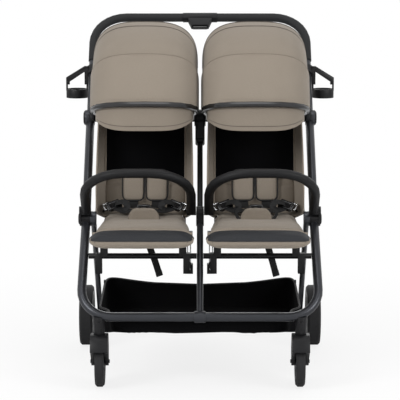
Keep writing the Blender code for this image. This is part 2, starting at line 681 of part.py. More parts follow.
def castor(side, sign, swivel, spin):
    """Housing under the crossbar, swivelling fork, axle pin, and the lever that locks the swivel."""
    x = sign * CASTOR_X
    height = CASTOR_HOUSING_TOP - CASTOR_HOUSING_BOTTOM
    work = bmesh.new()
    bmesh.ops.create_cone(work, cap_ends=True, segments=HOUSING_SIDES,
                          radius1=CASTOR_HOUSING_RADIUS - HOUSING_TAPER,
                          radius2=CASTOR_HOUSING_RADIUS, depth=height)
    housing = mesh_object(f"castor_housing_{side}", mesh_from("housing", work),
                          (x, CASTOR_Y, CASTOR_HOUSING_BOTTOM + height / 2))
    room = as_mesh(tube("room", front_path(), CROSSBAR_RADIUS + 2 * GAP))
    put(cut(housing, room), PLASTIC)

    centre = Vector((x, FRONT_AXLE_Y, FRONT_WHEEL_RADIUS))
    crown = CASTOR_HOUSING_BOTTOM - GAP
    dy = CASTOR_Y - FRONT_AXLE_Y
    eye = [(y, FRONT_WHEEL_RADIUS + z) for y, z in FORK_EYE]
    outline = [(dy + FORK_CROWN_REAR, crown), (dy - FORK_CROWN_FRONT, crown),
               (dy - FORK_CROWN_OVERHANG, crown - FORK_CROWN_DROP), *FORK_FRONT, *eye, *FORK_REAR]
    fork = plate(f"castor_fork_{side}", outline, 2 * FORK_HALF_WIDTH, x, (x, FRONT_AXLE_Y, 0))
    slot = cylinder_x("slot", centre, FRONT_WHEEL_RADIUS + FORK_WHEEL_CLEARANCE, 2 * FORK_SLOT_HALF_WIDTH,
                      WHEEL_SIDES)
    pin = cylinder_x("pin", centre, AXLE_PIN_RADIUS, 2 * (FORK_HALF_WIDTH + FORK_PIN_PROUD), 20)
    put(join(cut(fork, slot), pin), PLASTIC, swivel)

    lock = box(f"swivel_lock_{side}", (x, CASTOR_Y - CASTOR_HOUSING_RADIUS - LOCK_THICKNESS / 2 - GAP,
                                       CASTOR_HOUSING_BOTTOM + LOCK_RAISE + LOCK_LENGTH / 2),
               (LOCK_WIDTH, LOCK_THICKNESS, LOCK_LENGTH), rounding=EDGE_ROUND / 2)
    put(lock, PLASTIC, LOCK_PIVOTS[side])
    wheel(f"front_{side}", centre, FRONT_WHEEL_RADIUS, FRONT_WHEEL_WIDTH, PLASTIC, spin)


def cushion(name, size, cells, crown, channels=(), depth=0.0):
    """A stuffed pad: crowned face, drawn-in sides, and grooves across it at given shares of its length."""
    work = bmesh.new()
    bmesh.ops.create_cube(work, size=2.0)
    for axis, count in enumerate(cells):
        along = [edge for edge in work.edges
                 if abs((edge.verts[1].co - edge.verts[0].co).normalized()[axis]) > 0.9]
        bmesh.ops.subdivide_edges(work, edges=along, cuts=count - 1)
    half = Vector(size) / 2
    for vert in work.verts:
        u, v, w = vert.co
        rim = (1 - abs(u) ** 4) * (1 - abs(v) ** 4)
        shrink = 1 - PAD_EDGE_DRAW * w * w
        corner = 1 - PAD_CORNER_ROUND * (u * v) ** 4
        height = w * half.z * (PAD_EDGE_SHARE + (1 - PAD_EDGE_SHARE) * sqrt(max(rim, 0.0)))
        if w > 0.5:
            height += crown * (1 - u * u) * (1 - v * v)
            for channel in channels:
                height -= depth * (1 - u ** 8) / (1 + ((v - channel) / PAD_CHANNEL_SHARE) ** 4)
        vert.co = (u * half.x * shrink * corner, v * half.y * shrink * corner, height)
    return mesh_object(name, mesh_from(name, work, 60.0), (0, 0, 0))


def seat(side, sign, button_slide):
    """Seat pad with its crotch cover, and the harness buckle with its release button."""
    x = sign * SEAT_X
    length = SEAT_REAR_Y - SEAT_FRONT_Y
    pad = cushion(f"seat_pad_{side}", (2 * SEAT_HALF_WIDTH, length, SEAT_THICKNESS), (8, 12, 2), SEAT_CROWN,
                  SEAT_CHANNELS, CHANNEL_DEPTH)
    pad.location = (x, (SEAT_REAR_Y + SEAT_FRONT_Y) / 2, SEAT_TOP_Z - SEAT_THICKNESS / 2)
    root = SEAT_TOP_Z - SEAT_THICKNESS / 2
    top = SEAT_TOP_Z + CROTCH_HEIGHT
    cover = cushion("cover", (CROTCH_WIDTH, top - root, CROTCH_THICKNESS), (4, 4, 2), SMALL_CROWN)
    cover.location = (x, CROTCH_Y, (top + root) / 2)
    cover.rotation_euler = (pi / 2, 0, 0)
    put(join(pad, cover), TAUPE)

    back = CROTCH_Y + CROTCH_THICKNESS / 2 + CROTCH_BUCKLE_CLEARANCE + BUCKLE_THICKNESS / 2
    low = SEAT_TOP_Z + SEAT_CROWN + GAP
    centre = Vector((x, back, low + BUCKLE_HEIGHT / 2))
    buckle = box(f"seat_buckle_{side}", centre, (BUCKLE_WIDTH, BUCKLE_THICKNESS, BUCKLE_HEIGHT),
                 rounding=EDGE_ROUND)
    at = centre + Vector((0, -BUCKLE_THICKNESS / 2, BUCKLE_HEIGHT / 2 - BUTTON_SIZE / 2 - BUTTON_INSET))
    pocket = box("pocket", at, (BUTTON_SIZE + 2 * GAP, 2 * (BUTTON_TRAVEL + BUTTON_BODY + GAP),
                                BUTTON_HEIGHT + 2 * GAP))
    put(cut(buckle, pocket), BLACK_PLASTIC)
    button = box(f"buckle_button_{side}", at + Vector((0, (BUTTON_BODY - BUTTON_PROUD) / 2, 0)),
                 (BUTTON_SIZE, BUTTON_BODY + BUTTON_PROUD, BUTTON_HEIGHT))
    put(button, PLASTIC, button_slide)


def backrest(side, sign, hinge):
    """Reclining back with side wings, and the pair of shoulder pads joined by their yoke."""
    x = sign * SEAT_X
    stand = 90.0 - BACK_LEAN
    up = Vector((0, cos(radians(stand)), sin(radians(stand))))
    out = Vector((0, -sin(radians(stand)), cos(radians(stand))))
    base = BACK_HINGE + Vector((x, 0, 0))
    pad = cushion(f"backrest_{side}", (2 * BACK_HALF_WIDTH, BACK_LENGTH, BACK_THICKNESS), (8, 12, 2),
                  BACK_CROWN, BACK_CHANNELS, CHANNEL_DEPTH)
    middle = base + up * (BACK_START + BACK_LENGTH / 2)
    pad.location = middle
    pad.rotation_euler = (radians(stand), 0, 0)
    wings = []
    outline = [(-BACK_THICKNESS / 3, WING_LOW), (WING_DEPTH * WING_FOOT_SHARE, WING_LOW),
               (WING_DEPTH, WING_LOW + WING_FOOT_RISE),
               (WING_DEPTH * WING_HEAD_SHARE, WING_HIGH), (-BACK_THICKNESS / 3, WING_HIGH)]
    shaped = [(out.y * o + up.y * u, out.z * o + up.z * u) for o, u in outline]
    for edge in (-1, 1):
        place = x + edge * (WING_HALF_WIDTH - WING_THICKNESS / 2)
        wings.append(plate("wing", shaped, WING_THICKNESS, place, base))
    put(join(pad, *wings), TAUPE, hinge)

    face = BACK_THICKNESS / 2 + BACK_CROWN - SHOULDER_CROWN_FALL + GAP
    rise = face + SHOULDER_PAD_THICKNESS / 2
    low = base + up * (SHOULDER_PAD_LOW + SHOULDER_PAD_LENGTH / 2) + out * rise
    pads = []
    for edge in (-1, 1):
        one = cushion(f"shoulder_pads_{side}",
                      (SHOULDER_PAD_WIDTH, SHOULDER_PAD_LENGTH, SHOULDER_PAD_THICKNESS),
                      (4, 4, 2), SMALL_CROWN)
        one.location = low + Vector((edge * SHOULDER_PAD_SPREAD, 0, 0))
        one.rotation_euler = (radians(stand), 0, 0)
        pads.append(one)
    yoke = box("yoke", low + up * (SHOULDER_PAD_LENGTH / 2 - YOKE_DROP),
               (2 * SHOULDER_PAD_SPREAD, YOKE_HEIGHT, YOKE_THICKNESS), tilt=stand)
    put(join(pads[0], pads[1], yoke), TAUPE, hinge)


def calf_rest(side, sign, hinge):
    """The short padded board in front of the seat, which drops at its rear edge."""
    pad = cushion(f"calf_rest_{side}", (2 * CALF_HALF_WIDTH, CALF_LENGTH, CALF_THICKNESS), (10, 6, 2),
                  CALF_CROWN)
    pad.location = CALF_HINGE + Vector((sign * SEAT_X, -HINGE_BAR_RADIUS - GAP - CALF_LENGTH / 2, 0))
    put(pad, TAUPE, hinge)


def bumper_bar(side, sign, hinge):
    """Padded bar across a seat, turning in the lugs of the lower joints."""
    outer = FRAME_HALF_WIDTH + FRAME_TUBE_RADIUS - GAP - BUMPER_EYE_WIDTH / 2
    inner = CENTRE_HOUSING_HALF_WIDTH + GAP + BUMPER_EYE_WIDTH / 2
    rise = radians(BUMPER_RISE)
    reach = Vector((0, -cos(rise), sin(rise))) * BUMPER_REACH
    starts = [BUMPER_PIVOT + Vector((sign * place, 0, 0)) for place in (outer, inner)]
    corners = [starts[0], starts[0] + reach, starts[1] + reach, starts[1]]
    path = rounded_path(corners, [BUMPER_CORNER_RADIUS] * 2, 6)
    bar = as_mesh(tube(f"bumper_bar_{side}", path, BUMPER_RADIUS))
    eyes = [cylinder_x("eye", start, BUMPER_EYE_RADIUS, BUMPER_EYE_WIDTH) for start in starts]
    put(join(bar, *eyes), BLACK_LEATHER, hinge)


def arch(half_width, radius, steps=10):
    """Cross-section of a canopy from one side to the other, as (x, distance from the hub's axis)."""
    points = []
    for step in range(steps + 1):
        turn = pi - pi * step / steps
        c, s = cos(turn), sin(turn)
        x = half_width * (1 if c > 0 else -1) * abs(c) ** (2 / CANOPY_POWER)
        points.append((x, CANOPY_ARCH_BASE + (radius - CANOPY_ARCH_BASE) * abs(s) ** (2 / CANOPY_POWER)))
    return points


def canopy_panel(name, x, span, nest):
    """One cloth section between two angles, nested inside the ones of lower number."""
    inset = nest * CANOPY_NEST + CANOPY_CLOTH / 2
    hub = CANOPY_HUB_HALF_WIDTH - inset
    over = arch(CANOPY_HALF_WIDTH - inset, CANOPY_RADIUS - inset)
    near = [(-hub, CANOPY_START), (-hub, CANOPY_FLARE)]
    far = [(hub, CANOPY_FLARE), (hub, CANOPY_START)]
    return swept(name, x, [*near, *over, *far], span)


def swept(name, x, section, span):
    """A cross-section turned about the hub's axis from one angle to another, given a thickness."""
    work = bmesh.new()
    first, last = (radians(angle) for angle in span)
    row = [work.verts.new((px, r * cos(first), r * sin(first))) for px, r in section]
    edges = [work.edges.new(pair) for pair in zip(row, row[1:])]
    steps = max(3, round(degrees(last - first) / CANOPY_STEP))
    bmesh.ops.spin(work, geom=row + edges, cent=(0, 0, 0), axis=(1, 0, 0), angle=last - first, steps=steps)
    item = mesh_object(name, mesh_from(name, work, 60.0), UPPER_JOINT + Vector((x, 0, 0)))
    mod = item.modifiers.new("Cloth", "SOLIDIFY")
    mod.thickness = CANOPY_CLOTH
    mod.offset = 0
    return item


def bow_path(x):
    """Centre line of a bow from one hub to the other."""
    turn = radians(BOW_ANGLE)
    near = [(-BOW_HUB_HALF_WIDTH, 0.0), (-BOW_HUB_HALF_WIDTH, CANOPY_FLARE)]
    far = [(BOW_HUB_HALF_WIDTH, CANOPY_FLARE), (BOW_HUB_HALF_WIDTH, 0.0)]
    across = [*near, *arch(BOW_HALF_WIDTH, BOW_CENTRE_RADIUS), *far]
    return [UPPER_JOINT + Vector((x + px, r * cos(turn), r * sin(turn))) for px, r in across]


def canopy(side, sign, bow_hinge, mid_hinge, visor_hinge):
    """A bow with its front panel and visor, a middle panel that follows it, and the fixed rear panel."""
    x = sign * SEAT_X
    bow = as_mesh(tube(f"canopy_bow_{side}", bow_path(x), BOW_RADIUS, resolution=2))
    eyes = []
    for edge in (-1, 1):
        wall = FRAME_TUBE_INNER_X - GAP if edge == sign else UPPER_CENTRE_HALF_WIDTH + GAP
        far = abs(x + edge * (BOW_HUB_HALF_WIDTH - BOW_RADIUS))
        eyes.append(cylinder_x("eye", UPPER_JOINT + Vector((sign * (wall + far) / 2, 0, 0)), BOW_EYE_RADIUS,
                               abs(wall - far), 24))
    put(join(bow, *eyes), BLACK_PLASTIC, bow_hinge)

    front = canopy_panel(f"canopy_front_{side}", x, FRONT_PANEL, 0)
    put(cut(front, as_mesh(tube("room", bow_path(x), BOW_RADIUS + 2 * GAP, resolution=2))), TAUPE, bow_hinge)
    put(canopy_panel(f"canopy_mid_{side}", x, MID_PANEL, 1), TAUPE, mid_hinge)
    put(canopy_panel(f"canopy_rear_{side}", x, REAR_PANEL, 2), TAUPE)

    inset = BOW_RADIUS + VISOR_CLEARANCE + CANOPY_CLOTH / 2
    inner_half = BOW_HALF_WIDTH - inset
    inner_radius = BOW_CENTRE_RADIUS - inset
    put(swept(f"visor_{side}", x, arch(inner_half, inner_radius), VISOR_PANEL), TAUPE, visor_hinge)


def plate_xz(name, outline, thickness, origin):
    """A flat outline in the XZ plane, given from its origin, with its thickness along Y."""
    data = bpy.data.curves.new(name, "CURVE")
    data.dimensions = "2D"
    data.fill_mode = "BOTH"
    data.extrude = thickness / 2
    line = data.splines.new("POLY")
    line.points.add(len(outline) - 1)
    for point, (px, pz) in zip(line.points, outline):
        point.co = (px, pz, 0, 1)
    line.use_cyclic_u = True
    item = bpy.data.objects.new(name, data)
    item.matrix_world = Matrix.Translation(origin) @ Matrix.Rotation(pi / 2, 4, "X")
    return as_mesh(item)


def along_frame(name, x, reach, radius, length, sides=24):
    """A cylinder along the frame's line."""
    work = bmesh.new()
    bmesh.ops.create_cone(work, cap_ends=True, segments=sides, radius1=radius, radius2=radius, depth=length)
    item = mesh_object(name, mesh_from(name, work), on_frame(x, reach))
    item.rotation_euler = (radians(FRAME_ANGLE - 90), 0, 0)
    return item


def handle_leg(side, sign, hinge):
    """One upper tube of the handlebar with the plate that turns on the upper joint."""
    x = sign * FRAME_HALF_WIDTH
    ends = [on_frame(x, UPPER_JOINT_REACH), on_frame(x, GRIP_END_REACH - GAP)]
    leg = as_mesh(tube(f"handle_leg_{side}", ends, HANDLE_TUBE_RADIUS))
    face = FRAME_HALF_WIDTH + GAP / 2
    room = cylinder_x("room", UPPER_JOINT + Vector((sign * (face + LUG_INSET - CUTTER_SPARE / 2), 0, 0)),
                      UPPER_HOUSING_RADIUS + GAP, CUTTER_SPARE, 32)
    disc = cylinder_x("disc", UPPER_JOINT + Vector((sign * (face + HANDLE_PLATE_THICKNESS / 2), 0, 0)),
                      UPPER_HOUSING_RADIUS, HANDLE_PLATE_THICKNESS)
    put(join(cut(leg, room), disc), GRAPHITE, hinge)


def handlebar(hinge, button_slide):
    """Foam grip, the sleeve and housing at its middle, and the fold button in the housing's foot."""
    x = FRAME_HALF_WIDTH
    corners = [on_frame(x, GRIP_END_REACH), on_frame(x, HANDLE_REACH),
               on_frame(-x, HANDLE_REACH), on_frame(-x, GRIP_END_REACH)]
    path = rounded_path(corners, [HANDLE_CORNER_RADIUS] * 2, steps=8)
    put(as_mesh(tube("handle_grip", path, GRIP_RADIUS)), FOAM, hinge)

    sleeve = cylinder_x("fold_housing", HANDLE_TOP, GRIP_RADIUS + GAP + FOLD_HOUSING_WALL,
                        FOLD_HOUSING_WIDTH, 32)
    work = bmesh.new()
    bmesh.ops.create_cube(work, size=1.0)
    for vert in work.verts:
        share = FOLD_HOUSING_TOP_SHARE if vert.co.z > 0 else FOLD_HOUSING_FOOT_SHARE
        width = FOLD_HOUSING_WIDTH * share
        vert.co = (vert.co.x * width, vert.co.y * FOLD_HOUSING_DEPTH, vert.co.z * FOLD_HOUSING_DROP)
    wedge = mesh_object("wedge", mesh_from("wedge", work), on_frame(0, HANDLE_REACH - FOLD_HOUSING_DROP / 2))
    wedge.rotation_euler = (radians(FRAME_ANGLE - 90), 0, 0)
    bore = cylinder_x("bore", HANDLE_TOP, GRIP_RADIUS + GAP, 2 * FOLD_HOUSING_WIDTH, 32)
    foot = HANDLE_REACH - FOLD_HOUSING_DROP
    room = FOLD_BUTTON_TRAVEL + FOLD_BUTTON_DROP / 2 + GAP
    pocket = box("pocket", on_frame(0, foot),
                 (FOLD_BUTTON_WIDTH + 2 * GAP, FOLD_BUTTON_DEPTH + 2 * GAP, 2 * room), tilt=FRAME_ANGLE - 90)
    put(cut(join(sleeve, wedge), bore, pocket), PLASTIC, hinge)
    button = box("fold_button", on_frame(0, foot), (FOLD_BUTTON_WIDTH, FOLD_BUTTON_DEPTH, FOLD_BUTTON_DROP),
                 tilt=FRAME_ANGLE - 90)
    put(button, BLACK_PLASTIC, button_slide)


def cup_holder(side, sign, hinge):
    """Open ring for a cup on a D-shaped arm, clamped round the handle's tube."""
    at = on_frame(0, CUP_REACH)
    inner = FRAME_HALF_WIDTH + HANDLE_TUBE_RADIUS + CUP_ARM_CLEARANCE
    outer = CUP_X + CUP_RADIUS
    low = -CUP_DROP + CUP_HEIGHT / 2
    ring_at = (sign * CUP_X, at.y, at.z - CUP_DROP)
    work = bmesh.new()
    bmesh.ops.create_cone(work, cap_ends=True, segments=20, radius1=CUP_RADIUS, radius2=CUP_RADIUS,
                          depth=CUP_HEIGHT)
    ring = mesh_object(f"cup_holder_{side}", mesh_from("ring", work), ring_at)
    foot = low - CUP_ARM_FOOT
    past = foot - CUP_ARM_FOOT
    edge = outer - CUP_ARM_RIM
    frame = [(inner, foot), (inner, CUP_ARM_TOP), (inner + CUP_ARM_WIDTH, CUP_ARM_TOP),
             (outer, CUP_ARM_TOP - CUP_ARM_FALL), (outer, foot)]
    window = [(inner + CUP_ARM_WIDTH, past), (inner + CUP_ARM_WIDTH, CUP_ARM_TOP - CUP_ARM_DEPTH),
              (edge, CUP_ARM_TOP - CUP_ARM_FALL - CUP_ARM_BEAM), (edge, past)]
    arm = plate_xz("arm", [(sign * px, pz) for px, pz in frame], CUP_ARM_THICKNESS, at)
    hole = plate_xz("window", [(sign * px, pz) for px, pz in window], 2 * CUP_ARM_THICKNESS, at)
    collar = along_frame("collar", sign * FRAME_HALF_WIDTH, CUP_REACH, CUP_CLAMP_RADIUS, CUP_CLAMP_LENGTH)
    bore = along_frame("bore", sign * FRAME_HALF_WIDTH, CUP_REACH, HANDLE_TUBE_RADIUS + GAP,
                       2 * CUP_CLAMP_LENGTH)
    work = bmesh.new()
    bmesh.ops.create_cone(work, cap_ends=True, segments=20, radius1=CUP_RADIUS - CUP_WALL,
                          radius2=CUP_RADIUS - CUP_WALL, depth=2 * CUP_HEIGHT)
    cup = mesh_object("cup", mesh_from("cup", work), ring_at)
    put(cut(join(ring, cut(arm, hole), collar), cup, bore), BLACK_PLASTIC, hinge)


clear_scene()
STROLLER = new_collection("double_stroller")
CUTTERS = new_collection("cutters")
GRAPHITE = material("graphite_paint", (0.030, 0.032, 0.036), 0.42, 0.55)
PLASTIC = material("black_plastic", (0.018, 0.018, 0.020), 0.55)
BLACK_PLASTIC = material("gloss_black_plastic", (0.012, 0.012, 0.013), 0.30)
FOAM = material("grip_foam", (0.020, 0.020, 0.022), 0.80)
BLACK_LEATHER = material("black_leatherette", (0.016, 0.016, 0.018), 0.60)
RUBBER = material("tyre_rubber", (0.022, 0.022, 0.023), 0.85)
TAUPE = material("taupe_cloth", (0.300, 0.255, 0.205), 0.92)
BLACK_CLOTH = material("black_cloth", (0.010, 0.010, 0.010), 0.95)

fold_hinge = pivot("frame_fold_axis", LOWER_JOINT)
handle_hinge = pivot("handle_fold_axis", UPPER_JOINT)
button_slide = pivot("fold_button_axis", on_frame(0, HANDLE_REACH - FOLD_HOUSING_DROP), handle_hinge)
brake_hinge = pivot("brake_axis", REAR_AXLE + Vector((PEDAL_X, 0, 0)), fold_hinge)
LOCK_PIVOTS = {}

front_frame()
centre_leg()
centre_column()
basket()
rear_frame(fold_hinge)
brake_pedal(brake_hinge)
handlebar(handle_hinge, button_slide)
for side, sign in SIDES:
    across = Vector((sign * SEAT_X, 0, 0))
    side_column(side, sign)
    seat_frame(side, sign)
    handle_leg(side, sign, handle_hinge)
    cup_holder(side, sign, handle_hinge)
    rear_hub = REAR_AXLE + Vector((sign * REAR_WHEEL_X, 0, 0))
    rear_spin = pivot(f"rear_wheel_{side}_axis", rear_hub, fold_hinge)
    wheel(f"rear_{side}", rear_hub, REAR_WHEEL_RADIUS, REAR_WHEEL_WIDTH, PLASTIC, rear_spin)
    swivel = pivot(f"castor_{side}_axis", (sign * CASTOR_X, CASTOR_Y, CASTOR_HOUSING_BOTTOM))
    front_spin = pivot(f"front_wheel_{side}_axis", FRONT_AXLE + Vector((sign * CASTOR_X, 0, 0)), swivel)
    LOCK_PIVOTS[side] = pivot(f"swivel_lock_{side}_axis", (sign * CASTOR_X, CASTOR_Y, CASTOR_HOUSING_BOTTOM))
    castor(side, sign, swivel, front_spin)
    seat(side, sign, pivot(f"buckle_button_{side}_axis", Vector((sign * SEAT_X, CROTCH_Y, SEAT_TOP_Z))))
    backrest(side, sign, pivot(f"recline_{side}_axis", BACK_HINGE + across))
    calf_rest(side, sign, pivot(f"calf_{side}_axis", CALF_HINGE + across))
    bumper_bar(side, sign, pivot(f"bumper_{side}_axis", BUMPER_PIVOT + across))
    bow_hinge = pivot(f"canopy_bow_{side}_axis", UPPER_JOINT + across)
    mid_hinge = pivot(f"canopy_mid_{side}_axis", UPPER_JOINT + across)
    visor_hinge = pivot(f"visor_{side}_axis", UPPER_JOINT + across, bow_hinge)
    canopy(side, sign, bow_hinge, mid_hinge, visor_hinge)
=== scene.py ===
import json
from math import atan2, cos, pi, radians, sin, sqrt

import bmesh
import bpy
from mathutils import Matrix, Vector, noise
from mathutils.bvhtree import BVHTree


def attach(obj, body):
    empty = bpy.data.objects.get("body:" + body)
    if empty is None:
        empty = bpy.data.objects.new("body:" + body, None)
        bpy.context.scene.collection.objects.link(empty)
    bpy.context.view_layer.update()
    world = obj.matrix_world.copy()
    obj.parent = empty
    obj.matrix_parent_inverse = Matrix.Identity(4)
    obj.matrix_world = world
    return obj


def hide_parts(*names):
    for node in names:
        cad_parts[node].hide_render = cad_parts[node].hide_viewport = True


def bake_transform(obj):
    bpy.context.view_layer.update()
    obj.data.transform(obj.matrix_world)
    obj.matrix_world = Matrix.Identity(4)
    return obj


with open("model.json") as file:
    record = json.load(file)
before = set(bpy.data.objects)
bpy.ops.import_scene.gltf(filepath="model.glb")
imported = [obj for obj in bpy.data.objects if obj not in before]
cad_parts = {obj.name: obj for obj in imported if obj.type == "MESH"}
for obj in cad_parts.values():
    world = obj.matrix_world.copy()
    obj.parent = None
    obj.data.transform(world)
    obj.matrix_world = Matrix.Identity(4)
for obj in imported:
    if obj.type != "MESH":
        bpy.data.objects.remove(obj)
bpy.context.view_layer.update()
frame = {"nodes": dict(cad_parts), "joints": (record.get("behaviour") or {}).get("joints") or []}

joints = {joint["name"]: joint for joint in frame["joints"]}
sides = (("left", 1), ("right", -1))
edgeNames = ((1, "outer"), (-1, "inner"))

# Sizes are in metres and angles in degrees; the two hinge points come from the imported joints.
seatX = 0.168
frameAngle = 45.0
lowerJoint = Vector(joints["frame_fold"]["pos_m"])
upperJoint = Vector(joints["handle_fold"]["pos_m"])
alongFrame = Vector((0, cos(radians(frameAngle)), sin(radians(frameAngle))))


def seatOffset(sign):
    return Vector((sign * seatX, 0, 0))


def signedPower(value, power):
    return (1 if value > 0 else -1) * abs(value) ** power


def waver(x, y, z):
    return noise.noise(Vector((x, y, z)))


def within(value):
    return min(max(value, 0.0), 1.0)


def clearSelection():
    if bpy.context.mode != "OBJECT":
        bpy.ops.object.mode_set(mode="OBJECT")
    bpy.ops.object.select_all(action="DESELECT")


def makeActive(piece):
    clearSelection()
    piece.select_set(True)
    bpy.context.view_layer.objects.active = piece


def settle(piece):
    # place, turn and scale go into the mesh
    makeActive(piece)
    bpy.ops.object.transform_apply(location=True, rotation=True, scale=True)
    return piece


def addModifier(piece, name, kind, **settings):
    mod = piece.modifiers.new(name, kind)
    for setting, value in settings.items():
        setattr(mod, setting, value)
    return mod


def applyAll(piece):
    makeActive(piece)
    for mod in list(piece.modifiers):
        bpy.ops.object.modifier_apply(modifier=mod.name)
    return piece


def smooth(piece, angle=35):
    makeActive(piece)
    bpy.ops.object.shade_smooth_by_angle(angle=radians(angle))
    return piece


def outward(piece):
    makeActive(piece)
    bpy.ops.object.mode_set(mode="EDIT")
    bpy.ops.mesh.select_all(action="SELECT")
    bpy.ops.mesh.remove_doubles(threshold=0.00002)
    bpy.ops.mesh.normals_make_consistent(inside=False)
    bpy.ops.object.mode_set(mode="OBJECT")
    return piece


def wear(piece, look):
    piece.data.materials.clear()
    piece.data.materials.append(look)
    return piece


def place(piece, body, look, *replaced, slot=None):
    wear(piece, look)
    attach(piece, body)
    if replaced:
        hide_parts(*replaced)
    return piece


# Shader groups and finishes


def newGroup(name, numbers, colours):
    # every group takes a vector and gives a colour, a height and a roughness
    group = bpy.data.node_groups.new(name, "ShaderNodeTree")
    sockets = [("Vector", "INPUT", "Vector"), ("Color", "OUTPUT", "Color"), ("Height", "OUTPUT", "Float"),
               ("Roughness", "OUTPUT", "Float"), *((label, "INPUT", "Float") for label in numbers),
               *((label, "INPUT", "Color") for label in colours)]
    for label, way, kind in sockets:
        group.interface.new_socket(name=label, in_out=way, socket_type=f"NodeSocket{kind}")
    start = group.nodes.new("NodeGroupInput")
    end = group.nodes.new("NodeGroupOutput")
    return group, start.outputs, end.inputs


def setInputs(node, values):
    for label, value in values.items():
        node.inputs[label].default_value = value


def feed(tree, socket, value):
    # a constant goes on the socket, anything else is linked to it
    if isinstance(value, (int, float, tuple)):
        socket.default_value = value
    else:
        tree.links.new(value, socket)


def addMath(tree, operation, first, second):
    node = tree.nodes.new("ShaderNodeMath")
    node.operation = operation
    feed(tree, node.inputs[0], first)
    feed(tree, node.inputs[1], second)
    return node.outputs[0]


def plus(tree, first, second):
    return addMath(tree, "ADD", first, second)


def times(tree, first, second):
    return addMath(tree, "MULTIPLY", first, second)


def addNoise(tree, vector, scale, detail=3.0, roughness=0.55):
    node = tree.nodes.new("ShaderNodeTexNoise")
    for label, value in (("Scale", scale), ("Detail", detail), ("Roughness", roughness), ("Vector", vector)):
        feed(tree, node.inputs[label], value)
    return node.outputs["Fac"]


def addMix(tree, factor, first, second):
    node = tree.nodes.new("ShaderNodeMix")
    node.data_type = "RGBA"
    for socket, value in ((node.inputs["Factor"], factor), (node.inputs[6], first), (node.inputs[7], second)):
        feed(tree, socket, value)
    return node.outputs[2]


def weaveGroup():
    # two sets of threads crossing over each other, with slubs and soft shade changes
    group, given, result = newGroup("wovenCloth", ("Threads", "Rough"), ("Dark", "Light"))
    waves = []
    for direction in ("X", "Y"):
        wave = group.nodes.new("ShaderNodeTexWave")
        wave.wave_type = "BANDS"
        wave.bands_direction = direction
        setInputs(wave, {"Distortion": 1.2, "Detail": 1.0})
        group.links.new(given["Vector"], wave.inputs["Vector"])
        group.links.new(given["Threads"], wave.inputs["Scale"])
        waves.append(wave.outputs["Fac"])
    slub = addNoise(group, given["Vector"], 420.0, 2.0)
    cloud = addNoise(group, given["Vector"], 9.0, 2.0)
    grain = plus(group, times(group, times(group, *waves), 0.35), times(group, slub, 0.55))
    tone = plus(group, grain, times(group, cloud, 0.22))
    group.links.new(addMix(group, tone, given["Dark"], given["Light"]), result["Color"])
    group.links.new(grain, result["Height"])
    group.links.new(plus(group, given["Rough"], times(group, slub, 0.08)), result["Roughness"])
    return group


def grainGroup():
    # fine cast or sprayed texture with faint handling marks
    group, given, result = newGroup("fineGrain", ("Scale", "Rough", "Marks"), ("Base", "Worn"))
    fine = addNoise(group, given["Vector"], given["Scale"], 2.0)
    broad = addNoise(group, given["Vector"], 14.0, 4.0, 0.6)
    mask = times(group, plus(group, fine, broad), 0.45)
    marks = times(group, addMath(group, "SUBTRACT", broad, 0.5), given["Marks"])
    group.links.new(addMix(group, mask, given["Base"], given["Worn"]), result["Color"])
    group.links.new(fine, result["Height"])
    group.links.new(plus(group, given["Rough"], marks), result["Roughness"])
    return group


def leatherGroup():
    # pebbled cells with creases between them; the creases are coloured darker as painted shade
    group, given, result = newGroup("pebbleGrain", ("Scale", "Rough"), ("Base", "CreaseShade"))
    cells = group.nodes.new("ShaderNodeTexVoronoi")
    cells.feature = "DISTANCE_TO_EDGE"
    group.links.new(given["Vector"], cells.inputs["Vector"])
    group.links.new(given["Scale"], cells.inputs["Scale"])
    ramp = group.nodes.new("ShaderNodeValToRGB")
    ramp.color_ramp.elements[0].position = 0.0
    ramp.color_ramp.elements[1].position = 0.18
    group.links.new(cells.outputs["Distance"], ramp.inputs["Fac"])
    pebble = ramp.outputs["Color"]
    broad = addNoise(group, given["Vector"], 22.0, 3.0)
    group.links.new(addMix(group, pebble, given["CreaseShade"], given["Base"]), result["Color"])
    group.links.new(pebble, result["Height"])
    group.links.new(plus(group, given["Rough"], times(group, broad, 0.12)), result["Roughness"])
    return group


clothGroup = weaveGroup()
fineGroup = grainGroup()
pebbleGroup = leatherGroup()

# each option of a finish: its socket and its usual value
surfaceOptions = {
    "metallic": ("Metallic", 0.0), "specular": ("Specular IOR Level", 0.5), "coat": ("Coat Weight", 0.0),
    "coatRough": ("Coat Roughness", 0.2), "sheen": ("Sheen Weight", 0.0), "sheenRough": ("Sheen Roughness", 0.5)}


def newLook(name, group, values, bump, distance, onCloth=False, **surface):
    # onCloth follows the piece's own UV map, in metres; otherwise the pattern lies in the object's space
    look = bpy.data.materials.new(name)
    look.use_nodes = True
    tree = look.node_tree
    shader = tree.nodes["Principled BSDF"]
    coords = tree.nodes.new("ShaderNodeTexCoord")
    effect = tree.nodes.new("ShaderNodeGroup")
    effect.node_tree = group
    setInputs(effect, values)
    if onCloth:
        tree.links.new(coords.outputs["UV"], effect.inputs["Vector"])
    else:
        turn = tree.nodes.new("ShaderNodeMapping")
        setInputs(turn, {"Rotation": (radians(frameAngle), 0, 0)})
        tree.links.new(coords.outputs["Object"], turn.inputs["Vector"])
        tree.links.new(turn.outputs["Vector"], effect.inputs["Vector"])
    relief = tree.nodes.new("ShaderNodeBump")
    setInputs(relief, {"Strength": bump, "Distance": distance})
    tree.links.new(effect.outputs["Height"], relief.inputs["Height"])
    tree.links.new(effect.outputs["Color"], shader.inputs["Base Color"])
    tree.links.new(effect.outputs["Roughness"], shader.inputs["Roughness"])
    tree.links.new(relief.outputs["Normal"], shader.inputs["Normal"])
    setInputs(shader, {label: surface.get(option, usual) for option, (label, usual) in surfaceOptions.items()})
    return look


